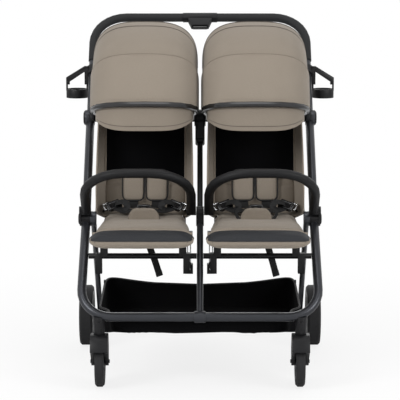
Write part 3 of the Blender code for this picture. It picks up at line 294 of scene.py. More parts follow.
def clothLook(name, threads, dark, light, rough, bump, distance, **more):
    values = {"Threads": threads, "Dark": (*dark, 1.0), "Light": (*light, 1.0), "Rough": rough}
    return newLook(name, clothGroup, values, bump, distance, **more)


def fineLook(name, scale, base, worn, rough, marks, bump, distance, **more):
    values = {"Scale": scale, "Base": (*base, 1.0), "Worn": (*worn, 1.0), "Rough": rough, "Marks": marks}
    return newLook(name, fineGroup, values, bump, distance, **more)


print("making the finishes")
# cloth: threads, dark and light thread, roughness, bump strength and distance
taupe = (700.0, (0.178, 0.148, 0.116), (0.345, 0.298, 0.245), 0.84, 0.35, 0.0006)
taupeCloth = clothLook("taupeCloth", *taupe, sheen=0.15, specular=0.25)
taupeSheet = clothLook("taupeSheet", *taupe, sheen=0.15, specular=0.25, onCloth=True)
taupePiping = clothLook("taupePiping", 1400.0, (0.060, 0.050, 0.042), (0.130, 0.110, 0.092), 0.80, 0.3, 0.0004,
                        specular=0.3)
greyBand = clothLook("greyWearBand", 1100.0, (0.009, 0.010, 0.012), (0.026, 0.027, 0.031), 0.60, 0.35, 0.0005,
                     specular=0.25)
blackMesh = clothLook("blackMeshCloth", 380.0, (0.002, 0.002, 0.002), (0.006, 0.006, 0.007), 0.92, 0.5, 0.0008,
                      specular=0.02)
blackCloth = clothLook("blackBasketCloth", 520.0, (0.002, 0.002, 0.002), (0.007, 0.007, 0.008), 0.90, 0.4, 0.0008,
                       specular=0.03)
webbing = clothLook("blackWebbing", 1500.0, (0.004, 0.004, 0.004), (0.020, 0.020, 0.021), 0.72, 0.5, 0.0005,
                    specular=0.35)
# metal, plastic and rubber: grain, base and worn colour, roughness, marks, bump strength and distance
graphite = fineLook("graphitePaint", 1300.0, (0.024, 0.025, 0.029), (0.060, 0.063, 0.071), 0.32, 0.12, 0.10,
                    0.0002, metallic=0.60, coat=0.05, coatRough=0.30, specular=0.3)
blackPlastic = fineLook("blackPlastic", 1500.0, (0.006, 0.006, 0.007), (0.011, 0.011, 0.012), 0.42, 0.15, 0.16,
                        0.0003, specular=0.22)
glossPlastic = fineLook("glossBlackPlastic", 700.0, (0.005, 0.005, 0.006), (0.012, 0.012, 0.013), 0.24, 0.10, 0.05,
                        0.0002, coat=0.25, specular=0.4)
gripFoam = fineLook("gripFoam", 1900.0, (0.009, 0.009, 0.010), (0.024, 0.025, 0.026), 0.70, 0.10, 0.45, 0.0004,
                    specular=0.25)
tyreRubber = fineLook("tyreRubber", 1100.0, (0.010, 0.010, 0.011), (0.026, 0.026, 0.027), 0.78, 0.12, 0.30, 0.0004,
                      specular=0.3)
bareSteel = fineLook("bareSteel", 900.0, (0.42, 0.43, 0.44), (0.62, 0.63, 0.64), 0.26, 0.12, 0.08, 0.0002,
                     metallic=1.0)
# the CreaseShade colour is painted shade in the valleys between the pebbles
leatherette = newLook("blackLeatherette", pebbleGroup, {"Scale": 480.0, "Base": (0.006, 0.006, 0.007, 1.0),
                      "CreaseShade": (0.002, 0.002, 0.002, 1.0), "Rough": 0.42}, 0.40, 0.0003, specular=0.22)

# Camera, floor and light
print("setting up the camera, floor and lights")
view = {"target": (0.0, 0.040, 0.498), "distance": 6.0, "elevation": 9.0, "lens": 174.7, "sensor": 36.0}
lookUp = radians(view["elevation"])
clearSelection()
toCamera = Vector((0, -cos(lookUp), sin(lookUp)))
bpy.ops.object.camera_add(location=Vector(view["target"]) + view["distance"] * toCamera)
camera = bpy.context.object
camera.name = "photoCamera"
camera.rotation_mode = "QUATERNION"
camera.rotation_quaternion = (-toCamera).to_track_quat("-Z", "Y")
camera.data.lens = view["lens"]
camera.data.sensor_width = view["sensor"]
camera.data.clip_end = 100
bpy.context.scene.camera = camera
bpy.context.scene.view_settings.view_transform = "Standard"

studio = {"floor": 40.0, "under": 0.0008, "world": 0.36, "paper": (0.92, 0.92, 0.92, 1.0), "white": (1, 1, 1, 1)}
clearSelection()
bpy.ops.mesh.primitive_plane_add(size=studio["floor"], location=(0, 0, -studio["under"]))
floor = bpy.context.object
floor.name = "studioFloor"
floorLook = bpy.data.materials.new("paleFloor")
floorLook.use_nodes = True
floorTree = floorLook.node_tree
floorShader = floorTree.nodes["Principled BSDF"]
setInputs(floorShader, {"Base Color": studio["paper"], "Roughness": 0.9, "Specular IOR Level": 0.1})
glow = floorTree.nodes.new("ShaderNodeEmission")
setInputs(glow, {"Color": studio["white"]})
blendIn = floorTree.nodes.new("ShaderNodeMixShader")
rays = floorTree.nodes.new("ShaderNodeLightPath")
ground = floorTree.nodes.new("ShaderNodeTexCoord")
reach = floorTree.nodes.new("ShaderNodeVectorMath")
reach.operation = "LENGTH"
floorTree.links.new(ground.outputs["Object"], reach.inputs[0])
away = floorTree.nodes.new("ShaderNodeMapRange")
setInputs(away, {"From Min": 0.5, "From Max": 1.6, "To Min": 0.82, "To Max": 1.0})
floorTree.links.new(reach.outputs["Value"], away.inputs["Value"])
share = times(floorTree, rays.outputs["Is Camera Ray"], away.outputs["Result"])
floorTree.links.new(share, blendIn.inputs["Fac"])
floorTree.links.new(floorShader.outputs["BSDF"], blendIn.inputs[1])
floorTree.links.new(glow.outputs["Emission"], blendIn.inputs[2])
floorTree.links.new(blendIn.outputs["Shader"], floorTree.nodes["Material Output"].inputs["Surface"])
floor.data.materials.append(floorLook)

world = bpy.data.worlds.new("studioWorld")
bpy.context.scene.world = world
world.use_nodes = True
worldTree = world.node_tree
backdrop = worldTree.nodes["Background"]
seen = worldTree.nodes.new("ShaderNodeLightPath")
direct = seen.outputs["Is Camera Ray"]
for other in ("Is Glossy Ray", "Is Transmission Ray"):
    direct = addMath(worldTree, "MAXIMUM", direct, seen.outputs[other])
strength = plus(worldTree, times(worldTree, direct, 1.0 - studio["world"]), studio["world"])
worldTree.links.new(strength, backdrop.inputs["Strength"])
setInputs(backdrop, {"Color": studio["white"]})


def areaLight(name, place, aim, power, size):
    clearSelection()
    bpy.ops.object.light_add(type="AREA", location=place)
    lamp = bpy.context.object
    lamp.name = name
    lamp.data.energy = power
    lamp.data.shape = "RECTANGLE"
    lamp.data.size, lamp.data.size_y = size
    lamp.rotation_mode = "QUATERNION"
    lamp.rotation_quaternion = (Vector(aim) - Vector(place)).to_track_quat("-Z", "Y")


areaLight("keyLight", (-2.7, -2.6, 2.3), (0, 0, 0.55), 78, (1.3, 1.6))
areaLight("fillLight", (2.9, -2.4, 1.9), (0, 0, 0.55), 58, (1.3, 1.6))
areaLight("topLight", (0.0, -0.6, 3.6), (0, 0, 0.5), 30, (2.0, 2.0))
areaLight("rearLight", (0.5, 3.4, 2.2), (0, 0, 0.6), 35, (2.4, 1.8))

# Carried-over CAD pieces
print("finishing the carried-over frame")
finishOf = {name: look for look, names in (
    (graphite, ("front_frame_tube", "centre_front_leg", "rear_frame")),
    (blackPlastic, ("centre_column", "brake_pedal", "fold_housing")),
    (gripFoam, ("handle_grip",)), (glossPlastic, ("fold_button",))) for name in names}
pairFinish = {name: look for look, names in (
    (graphite, ("push_tube", "handle_leg")),
    (blackPlastic, ("lower_joint", "upper_joint", "seat_frame", "castor_housing", "castor_fork", "swivel_lock",
                    "cup_holder", "buckle_button")),
    (glossPlastic, ("canopy_bow", "seat_buckle")), (leatherette, ("bumper_bar",))) for name in names}
for side, sign in sides:
    for start, look in pairFinish.items():
        finishOf[f"{start}_{side}"] = look
    for end in ("front", "rear"):
        finishOf[f"{end}_{side}_tyre"] = tyreRubber
        finishOf[f"{end}_{side}_rim"] = blackPlastic
edges = {"weld": 0.00001, "width": 0.0008, "segments": 2, "limit": 50.0, "split": 40.0}
for name, look in finishOf.items():
    node = wear(frame["nodes"][name], look)
    for poly in node.data.polygons:
        poly.use_smooth = True
    addModifier(node, "joinFaces", "WELD", merge_threshold=edges["weld"])
    addModifier(node, "softEdges", "BEVEL", width=edges["width"], segments=edges["segments"], limit_method="ANGLE",
                angle_limit=radians(edges["limit"]), use_clamp_overlap=True)
    addModifier(node, "crispEdges", "EDGE_SPLIT", split_angle=radians(edges["split"]))

# Shaping helpers for cloth and pads


def gridSheet(name, columns, rows, shape, flat=(1.0, 1.0)):
    # a flat grid whose points move to shape(u, v), u across and v along, both from 0 to 1; flat is its cut size
    clearSelection()
    bpy.ops.mesh.primitive_grid_add(x_subdivisions=columns, y_subdivisions=rows, size=2)
    piece = bpy.context.object
    piece.name = name
    for vert in piece.data.vertices:
        vert.co = shape((vert.co.x + 1) / 2, (vert.co.y + 1) / 2)
    for spot in piece.data.uv_layers.active.data:
        spot.uv = (spot.uv[0] * flat[0], spot.uv[1] * flat[1])
    return piece


def surfaceArea(piece):
    return sum(poly.area for poly in piece.data.polygons)


def thicken(piece, thickness):
    addModifier(piece, "clothThickness", "SOLIDIFY", thickness=thickness, offset=0.0, use_even_offset=False)
    return applyAll(piece)


def finishSheet(piece, thickness):
    # gives the cloth its thickness and returns the area that it had before
    area = surfaceArea(piece)
    thicken(piece, thickness)
    outward(piece)
    smooth(piece, 60)
    return area


def cutSize(width, area, seam=1.002):
    # the rectangle that a stretched sheet of this width and area is cut from
    return (width, area / width * seam)


def tubeAlong(name, points, radius, closed=False, resolution=3):
    data = bpy.data.curves.new(name, "CURVE")
    data.dimensions = "3D"
    data.bevel_depth = radius
    data.bevel_resolution = resolution
    data.use_fill_caps = not closed
    line = data.splines.new("POLY")
    line.points.add(len(points) - 1)
    for point, place3d in zip(line.points, points):
        point.co = (*place3d, 1.0)
    line.use_cyclic_u = closed
    line.use_smooth = True
    piece = bpy.data.objects.new(name, data)
    bpy.context.scene.collection.objects.link(piece)
    makeActive(piece)
    bpy.ops.object.convert(target="MESH")
    piece = bpy.context.object
    outward(piece)
    return smooth(piece, 50)


def smoothLine(points, steps=8):
    # a rounded line through a few points
    out = []
    last = len(points) - 1
    for index in range(last):
        before, here, there, after = (Vector(points[max(0, min(last, index + k))]) for k in (-1, 0, 1, 2))
        for step in range(steps):
            t = step / steps
            out.append(0.5 * (2 * here + (there - before) * t + (2 * before - 5 * here + 4 * there - after) * t * t
                              + (3 * here - before - 3 * there + after) * t ** 3))
    return [*out, Vector(points[-1])]


def strapAlong(name, points, width, thickness, facing):
    # flat webbing along a line; facing is the way that its broad side looks, one vector or one for each point
    work = bmesh.new()
    rings = []
    for index, point in enumerate(points):
        ahead = Vector(points[min(index + 1, len(points) - 1)]) - Vector(points[max(index - 1, 0)])
        look = Vector(facing[index] if isinstance(facing, list) else facing)
        across = ahead.cross(look).normalized()
        look = across.cross(ahead).normalized()
        corners = [(-0.5, -0.5), (-0.25, -0.62), (0.25, -0.62), (0.5, -0.5),
                   (0.5, 0.5), (0.25, 0.62), (-0.25, 0.62), (-0.5, 0.5)]
        rings.append([work.verts.new(Vector(point) + across * width * a + look * thickness * b)
                      for a, b in corners])
    for low, high in zip(rings, rings[1:]):
        for k in range(8):
            work.faces.new((low[k], low[(k + 1) % 8], high[(k + 1) % 8], high[k]))
    work.faces.new(rings[0][::-1])
    work.faces.new(rings[-1])
    bmesh.ops.recalc_face_normals(work, faces=work.faces)
    data = bpy.data.meshes.new(name)
    work.to_mesh(data)
    work.free()
    piece = bpy.data.objects.new(name, data)
    bpy.context.scene.collection.objects.link(piece)
    return smooth(piece, 40)


def copyAt(piece, name, offset, mirrored=False):
    copy = piece.copy()
    copy.data = piece.data.copy()
    copy.name = name
    bpy.context.scene.collection.objects.link(copy)
    if mirrored:
        copy.data.transform(Matrix.Scale(-1, 4, (1, 0, 0)))
        copy.data.flip_normals()
    copy.data.transform(Matrix.Translation(offset))
    return copy


def lay(form, name, offset, body, look, *replaced, mirrored=False, slot=None):
    return place(copyAt(form, name, offset, mirrored), body, look, *replaced, slot=slot)


def layPad(form, name, offset, body, node):
    # a padded piece in the seat cloth, which stands for a node
    lay(form, name, offset, body, taupeCloth, node, slot="taupe_cloth")


def drop(*pieces):
    for piece in pieces:
        bpy.data.objects.remove(piece, do_unlink=True)


def cushionForm(name, size, cells, crown, draw=0.05, corner=0.10, edge=0.45):
    # a stuffed pad about the origin: crowned face, drawn-in sides and softened corners
    clearSelection()
    bpy.ops.mesh.primitive_cube_add(size=2)
    piece = bpy.context.object
    piece.name = name
    work = bmesh.new()
    work.from_mesh(piece.data)
    for axis, count in enumerate(cells):
        along = [line for line in work.edges
                 if abs((line.verts[1].co - line.verts[0].co).normalized()[axis]) > 0.9]
        bmesh.ops.subdivide_edges(work, edges=along, cuts=count - 1)
    half = Vector(size) / 2
    for vert in work.verts:
        u, v, w = vert.co
        rim = max((1 - abs(u) ** 5) * (1 - abs(v) ** 5), 0.0)
        shrink = 1 - draw * w * w
        cornerPull = 1 - corner * (u * v) ** 4
        height = w * half.z * (edge + (1 - edge) * sqrt(rim))
        height += (crown if w > 0.5 else 0.0) * (1 - u * u) * (1 - v * v)
        vert.co = (u * half.x * shrink * cornerPull, v * half.y * shrink * cornerPull, height)
    work.to_mesh(piece.data)
    work.free()
    return piece


puffFrames = 20


def inflate(piece, voxel, pressure, cap):
    # stuffed under its own cover: the pad is blown up from inside, and no point goes further than cap
    addModifier(piece, "evenFaces", "REMESH", mode="VOXEL", voxel_size=voxel)
    applyAll(piece)
    rest = [vert.co.copy() for vert in piece.data.vertices]
    puff = piece.modifiers.new("stuffing", "CLOTH")
    for setting, value in (
            ("quality", 5), ("mass", 0.3), ("tension_stiffness", 18), ("compression_stiffness", 18),
            ("shear_stiffness", 6), ("bending_stiffness", 0.6), ("use_pressure", True),
            ("uniform_pressure_force", pressure)):
        setattr(puff.settings, setting, value)
    puff.settings.effector_weights.gravity = 0
    puff.point_cache.frame_start = 1
    puff.point_cache.frame_end = puffFrames
    for step in range(1, puffFrames + 1):
        bpy.context.scene.frame_set(step)
    applyAll(piece)
    bpy.context.scene.frame_set(1)
    for vert, start in zip(piece.data.vertices, rest):
        moved = vert.co - start
        if moved.length > cap:
            vert.co = start + moved * (cap / moved.length)
    addModifier(piece, "evenOut", "SMOOTH", factor=0.5, iterations=3)
    return applyAll(piece)


def finishPad(piece, levels=1):
    addModifier(piece, "fineCloth", "SUBSURF", levels=levels, render_levels=levels)
    applyAll(piece)
    for poly in piece.data.polygons:
        poly.use_smooth = True
    return piece


# Canopies
print("sewing the canopies")
canopy = {
    "radius": 0.307, "halfWidth": 0.1655, "base": 0.157, "power": 3.0, "start": 0.052, "flare": 0.115,
    "hubHalf": 0.1478, "cadCloth": 0.0030, "cloth": 0.0018, "nest": 0.0039, "steps": 48, "rows": 26,
    "rear": (64.2, 97.0), "mid": (95.7, 136.0), "front": (134.2, 164.8), "visor": (165.0, 181.0),
    "visorHalf": 0.1473, "visorRadius": 0.2958, "visorRise": 5.5, "ripple": 0.0010}


def clothSection(halfWidth, radius, hubHalf=None):
    power = 2 / canopy["power"]
    points = []
    for step in range(canopy["steps"] + 1):
        turn = pi - pi * step / canopy["steps"]
        points.append((halfWidth * signedPower(cos(turn), power),
                       canopy["base"] + (radius - canopy["base"]) * abs(sin(turn)) ** power))
    if hubHalf is None:
        return points
    near = [(-hubHalf, canopy["start"] + (canopy["flare"] - canopy["start"]) * k / 4) for k in range(5)]
    rise = [(-hubHalf + (points[0][0] + hubHalf) * k / 3,
             canopy["flare"] + (points[0][1] - canopy["flare"]) * k / 3) for k in (1, 2)]
    left = [*near, *rise]
    return [*left, *points, *[(-x, r) for x, r in reversed(left)]]


def clothPoint(section, u, angle, sink=0.0):
    spot = u * (len(section) - 1)
    low = min(int(spot), len(section) - 2)
    part = spot - low
    x = section[low][0] + (section[low + 1][0] - section[low][0]) * part
    r = section[low][1] + (section[low + 1][1] - section[low][1]) * part - sink
    return Vector((x, upperJoint.y + r * cos(radians(angle)), upperJoint.z + r * sin(radians(angle))))


def canopySheet(name, section, span, sag, seed, rise=0.0):
    # span holds the first and last angle; rise lifts the last edge at the sides
    across = sum((Vector(a) - Vector(b)).length for a, b in zip(section, section[1:]))
    along = radians(span[1] - span[0]) * canopy["radius"]
    limit = max(abs(x) for x, r in section)

    def shape(u, v):
        bare = clothPoint(section, u, span[0])
        lift = rise * (abs(bare.x) / limit) ** 5
        angle = span[0] + (span[1] - lift - span[0]) * v
        ripple = waver(bare.x * 11, angle / 9, seed) * canopy["ripple"]
        ripple += waver(bare.x * 34, angle / 2.5, seed + 5) * canopy["ripple"] * 0.35
        hold = sin(pi * v)
        return clothPoint(section, u, angle, hold * (sag + ripple))

    return gridSheet(name, len(section) - 1, canopy["rows"], shape, (across, along)), (across, along)


def seamLine(name, section, angle, lift, radius, rise, trim):
    # a seam along the panel at one angle, trimmed by a few points at both ends
    limit = max(abs(x) for x, r in section)
    count = len(section) - 1
    points = []
    for k in range(trim, count + 1 - trim):
        x = section[k][0]
        points.append(clothPoint(section, k / count, angle - rise * (abs(x) / limit) ** 5, -lift))
    return tubeAlong(name, points, radius)


def insetSection(nest):
    inset = nest * canopy["nest"] + canopy["cadCloth"] / 2
    return clothSection(canopy["halfWidth"] - inset, canopy["radius"] - inset, canopy["hubHalf"] - inset)


# each panel: section, span, sag, seed of its ripples, rise of its last edge at the sides
panels = (
    ("rear", insetSection(2), canopy["rear"], 0.0022, 1, 0.0),
    ("mid", insetSection(1), canopy["mid"], 0.0026, 2, 0.0),
    ("front", insetSection(0), canopy["front"], 0.0030, 3, 0.0),
    ("visor", clothSection(canopy["visorHalf"], canopy["visorRadius"]), canopy["visor"], 0.0012, 4,
     canopy["visorRise"]))
# each seam: angle, lift above the cloth, radius, look, points left off at both ends
lines = {
    "rear": ((64.6, 0.0010, 0.0013, taupePiping, 0), (92.0, 0.0003, 0.0005, taupePiping, 8)),
    "mid": ((96.3, 0.0012, 0.0016, taupePiping, 3), (105.0, 0.0002, 0.0009, taupePiping, 8)),
    "front": ((134.8, 0.0017, 0.0009, taupeCloth, 3), (162.9, 0.0002, 0.0008, taupeCloth, 6)),
    "visor": ((181.0, -0.0014, 0.0008, taupeCloth, 8), (178.4, 0.0007, 0.0007, taupePiping, 1))}
bodyOfPanel = {"rear": "chassis", "mid": "canopy_mid_{}", "front": "canopy_bow_{}", "visor": "visor_{}"}
for part, section, span, sag, seed, rise in panels:
    pattern, flat = canopySheet(f"{part}Pattern", section, span, sag, seed, rise)
    area = finishSheet(pattern, canopy["cloth"])
    flat = (flat[0], max(flat[1], cutSize(flat[0], area)[1]))
    for side, sign in sides:
        offset = seatOffset(sign)
        body = bodyOfPanel[part].format(side)
        node = f"visor_{side}" if part == "visor" else f"canopy_{part}_{side}"
        panel = lay(pattern, f"{part}Canopy_{side}", offset, body, taupeSheet, node, slot="taupe_cloth")
        for index, (angle, lift, radius, look, trim) in enumerate(lines[part]):
            trimRise = rise * ((angle - span[0]) / (span[1] - span[0])) if rise else 0.0
            line = seamLine(f"{part}Seam{index}_{side}", section, angle, lift, radius, trimRise, trim)
            line.data.transform(Matrix.Translation(offset))
            place(line, body, look)
    drop(pattern)

# Seats, modelled once in the middle and copied to both sides
print("stuffing the seat pads")
seatPad = {"size": (0.262, 0.298, 0.030), "cells": (18, 18, 3), "crown": 0.004, "middle": (0, -0.165, 0.4490),
           "rearLift": 0.0080, "widen": 0.165, "widenFrom": 0.10, "voxel": 0.0050, "pressure": 4.0, "cap": 0.0040,
           "seam": 0.0028, "seamAt": -0.125, "seamWidth": 0.0030, "crease": (0.0011, 26, 2.0)}
calfPad = {"size": (0.310, 0.114, 0.036), "cells": (20, 8, 3), "crown": 0.003, "middle": (0, -0.3835, 0.4485),
           "voxel": 0.0050, "pressure": 4.0, "cap": 0.0022, "crease": (0.0007, 24, 7.0)}
calfBand = {"half": 0.1500, "rearEdge": -0.3400, "frontTop": 0.4580, "frontEdge": 0.4525, "nose": 0.72,
            "overNose": 0.004, "taper": 0.055, "lift": 0.0013, "thickness": 0.0010, "piping": 0.0013,
            "overRim": (0, 0.0010, 0.0006)}
backHinge = Vector((0, -0.004, 0.468))
backAngle = 70.0
backUp = Vector((0, cos(radians(backAngle)), sin(radians(backAngle))))
backOut = Vector((0, -backUp.z, backUp.y))


def onBack(x, up, out):
    return backHinge + Vector((x, 0, 0)) + backUp * up + backOut * out


def leanBack(piece, up, out, x=0.0):
    # a pad made flat about the origin goes onto the backrest
    turn = Matrix(((1, 0, 0, 0), (0, backUp.y, backOut.y, 0), (0, backUp.z, backOut.z, 0), (0, 0, 0, 1)))
    piece.data.transform(Matrix.Translation(onBack(x, up, out)) @ turn)


def stuffedPad(name, pad):
    piece = cushionForm(name, pad["size"], pad["cells"], pad["crown"])
    return inflate(piece, pad["voxel"], pad["pressure"], pad["cap"])


def sewGroove(piece, spot, depth, width):
    # a sewn channel across the upper face, at one place along the pad
    top = max(vert.co.z for vert in piece.data.vertices)
    side = max(abs(vert.co.x) for vert in piece.data.vertices)
    for vert in piece.data.vertices:
        fade = 1 - (abs(vert.co.x) / side) ** 8
        if vert.co.z >= top * 0.2 and fade > 0:
            vert.co.z -= depth * fade / (1 + ((vert.co.y - spot) / width) ** 4)


def crease(piece, amount, scale, seed):
    # slack cloth: small soft folds over the whole pad
    facing = [vert.normal.copy() for vert in piece.data.vertices]
    for vert, normal in zip(piece.data.vertices, facing):
        lift = waver(vert.co.x * scale, vert.co.y * scale * 1.6, vert.co.z * scale + seed)
        vert.co += normal * lift * amount


seatForm = finishPad(stuffedPad("seatForm", seatPad))
sewGroove(seatForm, seatPad["seamAt"], seatPad["seam"], seatPad["seamWidth"])
rear = seatPad["size"][1] / 2
for vert in seatForm.data.vertices:
    run = within((rear - vert.co.y - seatPad["widenFrom"]) / (2 * rear - seatPad["widenFrom"]))
    vert.co.x *= 1 + seatPad["widen"] * run
    if vert.co.z > 0:
        vert.co.z += seatPad["rearLift"] * (0.5 + vert.co.y / (2 * rear)) ** 2
crease(seatForm, *seatPad["crease"])
seatForm.data.transform(Matrix.Translation(seatPad["middle"]))
calfForm = finishPad(stuffedPad("calfForm", calfPad))
crease(calfForm, *calfPad["crease"])
calfForm.data.transform(Matrix.Translation(calfPad["middle"]))


def surfaceTree(piece):
    bpy.context.view_layer.update()
    return BVHTree.FromObject(piece, bpy.context.evaluated_depsgraph_get())


calfSkin = surfaceTree(calfForm)


def bandShape(u, v):
    # from the rear seam over the nose of the pad and down its front
    width = calfBand["half"] * (1 - calfBand["taper"] * abs(2 * v - 1) ** 5)
    x = (2 * u - 1) * width
    front = calfPad["middle"][1] - calfPad["size"][1] / 2
    if v < calfBand["nose"]:
        run = front + calfBand["overNose"] - calfBand["rearEdge"]
        start = Vector((x, calfBand["rearEdge"] + run * v / calfBand["nose"], 0.50))
        hit, normal, index, far = calfSkin.ray_cast(start, Vector((0, 0, -1)))
    else:
        part = (v - calfBand["nose"]) / (1 - calfBand["nose"])
        fall = calfBand["frontEdge"] - calfBand["frontTop"]
        start = Vector((x, front - 0.05, calfBand["frontTop"] + fall * part))
        hit, normal, index, far = calfSkin.ray_cast(start, Vector((0, 1, 0)))
    if hit is None:
        hit, normal, index, far = calfSkin.find_nearest(start)
    return hit + normal * calfBand["lift"]


bandForm = gridSheet("bandForm", 60, 34, bandShape, (2 * calfBand["half"], 0.12))
addModifier(bandForm, "evenOut", "SMOOTH", iterations=1)
applyAll(bandForm)
rim = [bandForm.data.vertices[k].co.copy() for k in range(61)]
bandArea = finishSheet(bandForm, calfBand["thickness"])
pipingLine = [point + Vector(calfBand["overRim"]) for point in rim]
bandPiping = tubeAlong("bandPipingForm", pipingLine, calfBand["piping"])

for side, sign in sides:
    offset = seatOffset(sign)
    layPad(seatForm, f"seatCushion_{side}", offset, "chassis", f"seat_pad_{side}")
    layPad(calfForm, f"calfCushion_{side}", offset, f"calf_rest_{side}", f"calf_rest_{side}")
    band = lay(bandForm, f"calfBand_{side}", offset, f"calf_rest_{side}", greyBand)
    piping = lay(bandPiping, f"calfPiping_{side}", offset, f"calf_rest_{side}", taupeCloth)
drop(seatForm, calfForm, bandForm, bandPiping)

print("building the backrests, side walls and harness")
backPad = {"size": (0.256, 0.108, 0.026), "cells": (18, 8, 3), "crown": 0.003, "up": 0.062, "voxel": 0.0050,
           "pressure": 4.0, "cap": 0.0050, "seam": 0.0022, "seamAt": 0.020, "seamWidth": 0.0030,
           "crease": (0.0009, 26, 11.0)}
backMesh = {"half": 0.1230, "low": 0.100, "high": 0.396, "out": 0.008, "sag": 0.010, "ripple": 0.0009,
            "thickness": 0.0024, "hem": 0.0032}
sideWall = {"rear": 0.1190, "front": 0.1375, "flare": 0.0080, "low": -0.018, "high": 0.378, "thickness": 0.0042,
            "behind": 0.006, "over": 0.004, "ripple": 0.0018, "hem": 0.0026, "cloth": (0.105, 0.372),
            "cut": (0.115, 0.374)}
shoulderPad = {"size": (0.064, 0.095, 0.0120), "cells": (6, 10, 2), "crown": 0.001, "up": 0.0785, "out": 0.0265,
               "x": 0.036, "voxel": 0.0032, "pressure": 3.0, "cap": 0.0022}

backForm = finishPad(stuffedPad("backForm", backPad))
sewGroove(backForm, backPad["seamAt"], backPad["seam"], backPad["seamWidth"])
crease(backForm, *backPad["crease"])
leanBack(backForm, backPad["up"], 0.0)


def meshShape(u, v):
    x = (2 * u - 1) * backMesh["half"]
    up = backMesh["low"] + (backMesh["high"] - backMesh["low"]) * v
    hollow = backMesh["sag"] * (1 - (2 * u - 1) ** 2) * sin(pi * min(1.0, v * 1.05)) ** 0.6
    return onBack(x, up, backMesh["out"] - hollow + backMesh["ripple"] * waver(x * 20, up * 14, 3.0))


meshForm = gridSheet("meshForm", 40, 40, meshShape, (2 * backMesh["half"], backMesh["high"] - backMesh["low"]))
meshArea = finishSheet(meshForm, backMesh["thickness"])


def wallReach(up):
    # how far the side wall stands forward of the back, as on the CAD wing
    knots = ((0.006, 0.088), (0.056, 0.108), (0.160, 0.098), (0.378, 0.068))
    for (a, b), (c, d) in zip(knots, knots[1:]):
        if up <= c:
            t = (up - a) / (c - a)
            t = t * t * (3 - 2 * t) if a < 0.05 else t
            return b + (d - b) * t
    return knots[-1][1]


def wallShape(u, v):
    up = sideWall["low"] + (sideWall["high"] - sideWall["low"]) * v
    out = (wallReach(up) + sideWall["over"]) * u - sideWall["behind"]
    flare = sideWall["flare"] * (1 - (up / sideWall["high"]) ** 2)
    x = sideWall["rear"] + (sideWall["front"] + flare - sideWall["rear"]) * min(1.0, u * 1.5) ** 0.7
    ripple = sideWall["ripple"] * waver(up * 16, out * 22, 6.0) * min(1.0, 4 * u * (1.02 - u))
    return onBack(x + ripple, up, out)


wallForm = gridSheet("wallForm", 24, 60, wallShape, sideWall["cloth"])
wallArea = finishSheet(wallForm, sideWall["thickness"])
wallHem = tubeAlong("wallHemForm", [wallShape(1.0, k / 40) for k in range(41)], sideWall["hem"])
meshRim = tubeAlong("meshRimForm", [
    *(meshShape(1, k / 20) for k in range(21)), *(meshShape(1 - k / 20, 1) for k in range(1, 21)),
    *(meshShape(0, 1 - k / 20) for k in range(1, 21))], backMesh["hem"])

padForm = finishPad(stuffedPad("shoulderForm", shoulderPad))
padRim = {"half": (0.0336, 0.0488), "power": 0.42, "up": 0.0022, "radius": 0.0019, "steps": 48}
rimLine = []
for k in range(padRim["steps"]):
    turn = 2 * pi * k / padRim["steps"]
    rimLine.append(Vector((padRim["half"][0] * signedPower(cos(turn), padRim["power"]),
                           padRim["half"][1] * signedPower(sin(turn), padRim["power"]), padRim["up"])))
padPiping = tubeAlong("padPipingForm", rimLine, padRim["radius"], closed=True)
leanBack(padForm, shoulderPad["up"], shoulderPad["out"])
leanBack(padPiping, shoulderPad["up"], shoulderPad["out"])

# the cloth between seat and backrest: where it starts, its middle, where it ends on the back, and where it turns
bridge = {"half": 0.127, "thickness": 0.0030, "start": (-0.052, 0.4655), "middle": (-0.016, 0.4640),
          "end": (0.024, 0.010), "ripple": 0.0010, "cloth": 0.07, "turnFrom": (0, -0.034, 0.463),
          "turnTo": (0, 0.016, 0.010)}


def bridgeShape(u, v):
    x = (2 * u - 1) * bridge["half"]
    start = Vector((x, *bridge["start"]))
    end = onBack(x, *bridge["end"])
    middle = Vector((x, *bridge["middle"]))
    middle.z += bridge["ripple"] * waver(x * 30, 1, 1)
    return start * (1 - v) ** 2 + middle * 2 * v * (1 - v) + end * v * v


bridgeForm = gridSheet("bridgeForm", 40, 16, bridgeShape, (2 * bridge["half"], bridge["cloth"]))
bridgeArea = finishSheet(bridgeForm, bridge["thickness"])

for side, sign in sides:
    offset = seatOffset(sign)
    body = f"backrest_{side}"
    layPad(backForm, f"backCushion_{side}", offset, body, body)
    panel = lay(meshForm, f"backMesh_{side}", offset, body, blackMesh, body)
    rimPiece = lay(meshRim, f"backMeshHem_{side}", offset, body, taupeCloth)
    for edge, wallName in edgeNames:
        flip = edge * sign < 0
        wall = lay(wallForm, f"{wallName}Wall_{side}", offset, body, taupeSheet, body, mirrored=flip,
                   slot="taupe_cloth")
        hem = lay(wallHem, f"{wallName}WallHem_{side}", offset, body, taupeCloth, mirrored=flip)
        spot = offset + Vector((edge * sign * shoulderPad["x"], 0, 0))
        layPad(padForm, f"{wallName}ShoulderPad_{side}", spot, body, f"shoulder_pads_{side}")
        lay(padPiping, f"{wallName}ShoulderPiping_{side}", spot, body, webbing)
    joinCloth = wear(copyAt(bridgeForm, f"seatBackCloth_{side}", offset), taupeSheet)
    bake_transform(joinCloth)
drop(backForm, meshForm, wallForm, wallHem, meshRim, padForm, padPiping, bridgeForm)

# Hardware helpers: a primitive, drawn in and raised on some of its faces, then rounded


leftward, rightward, forward, upward, downward = (1, 0, 0), (-1, 0, 0), (0, -1, 0), (0, 0, 1), (0, 0, -1)


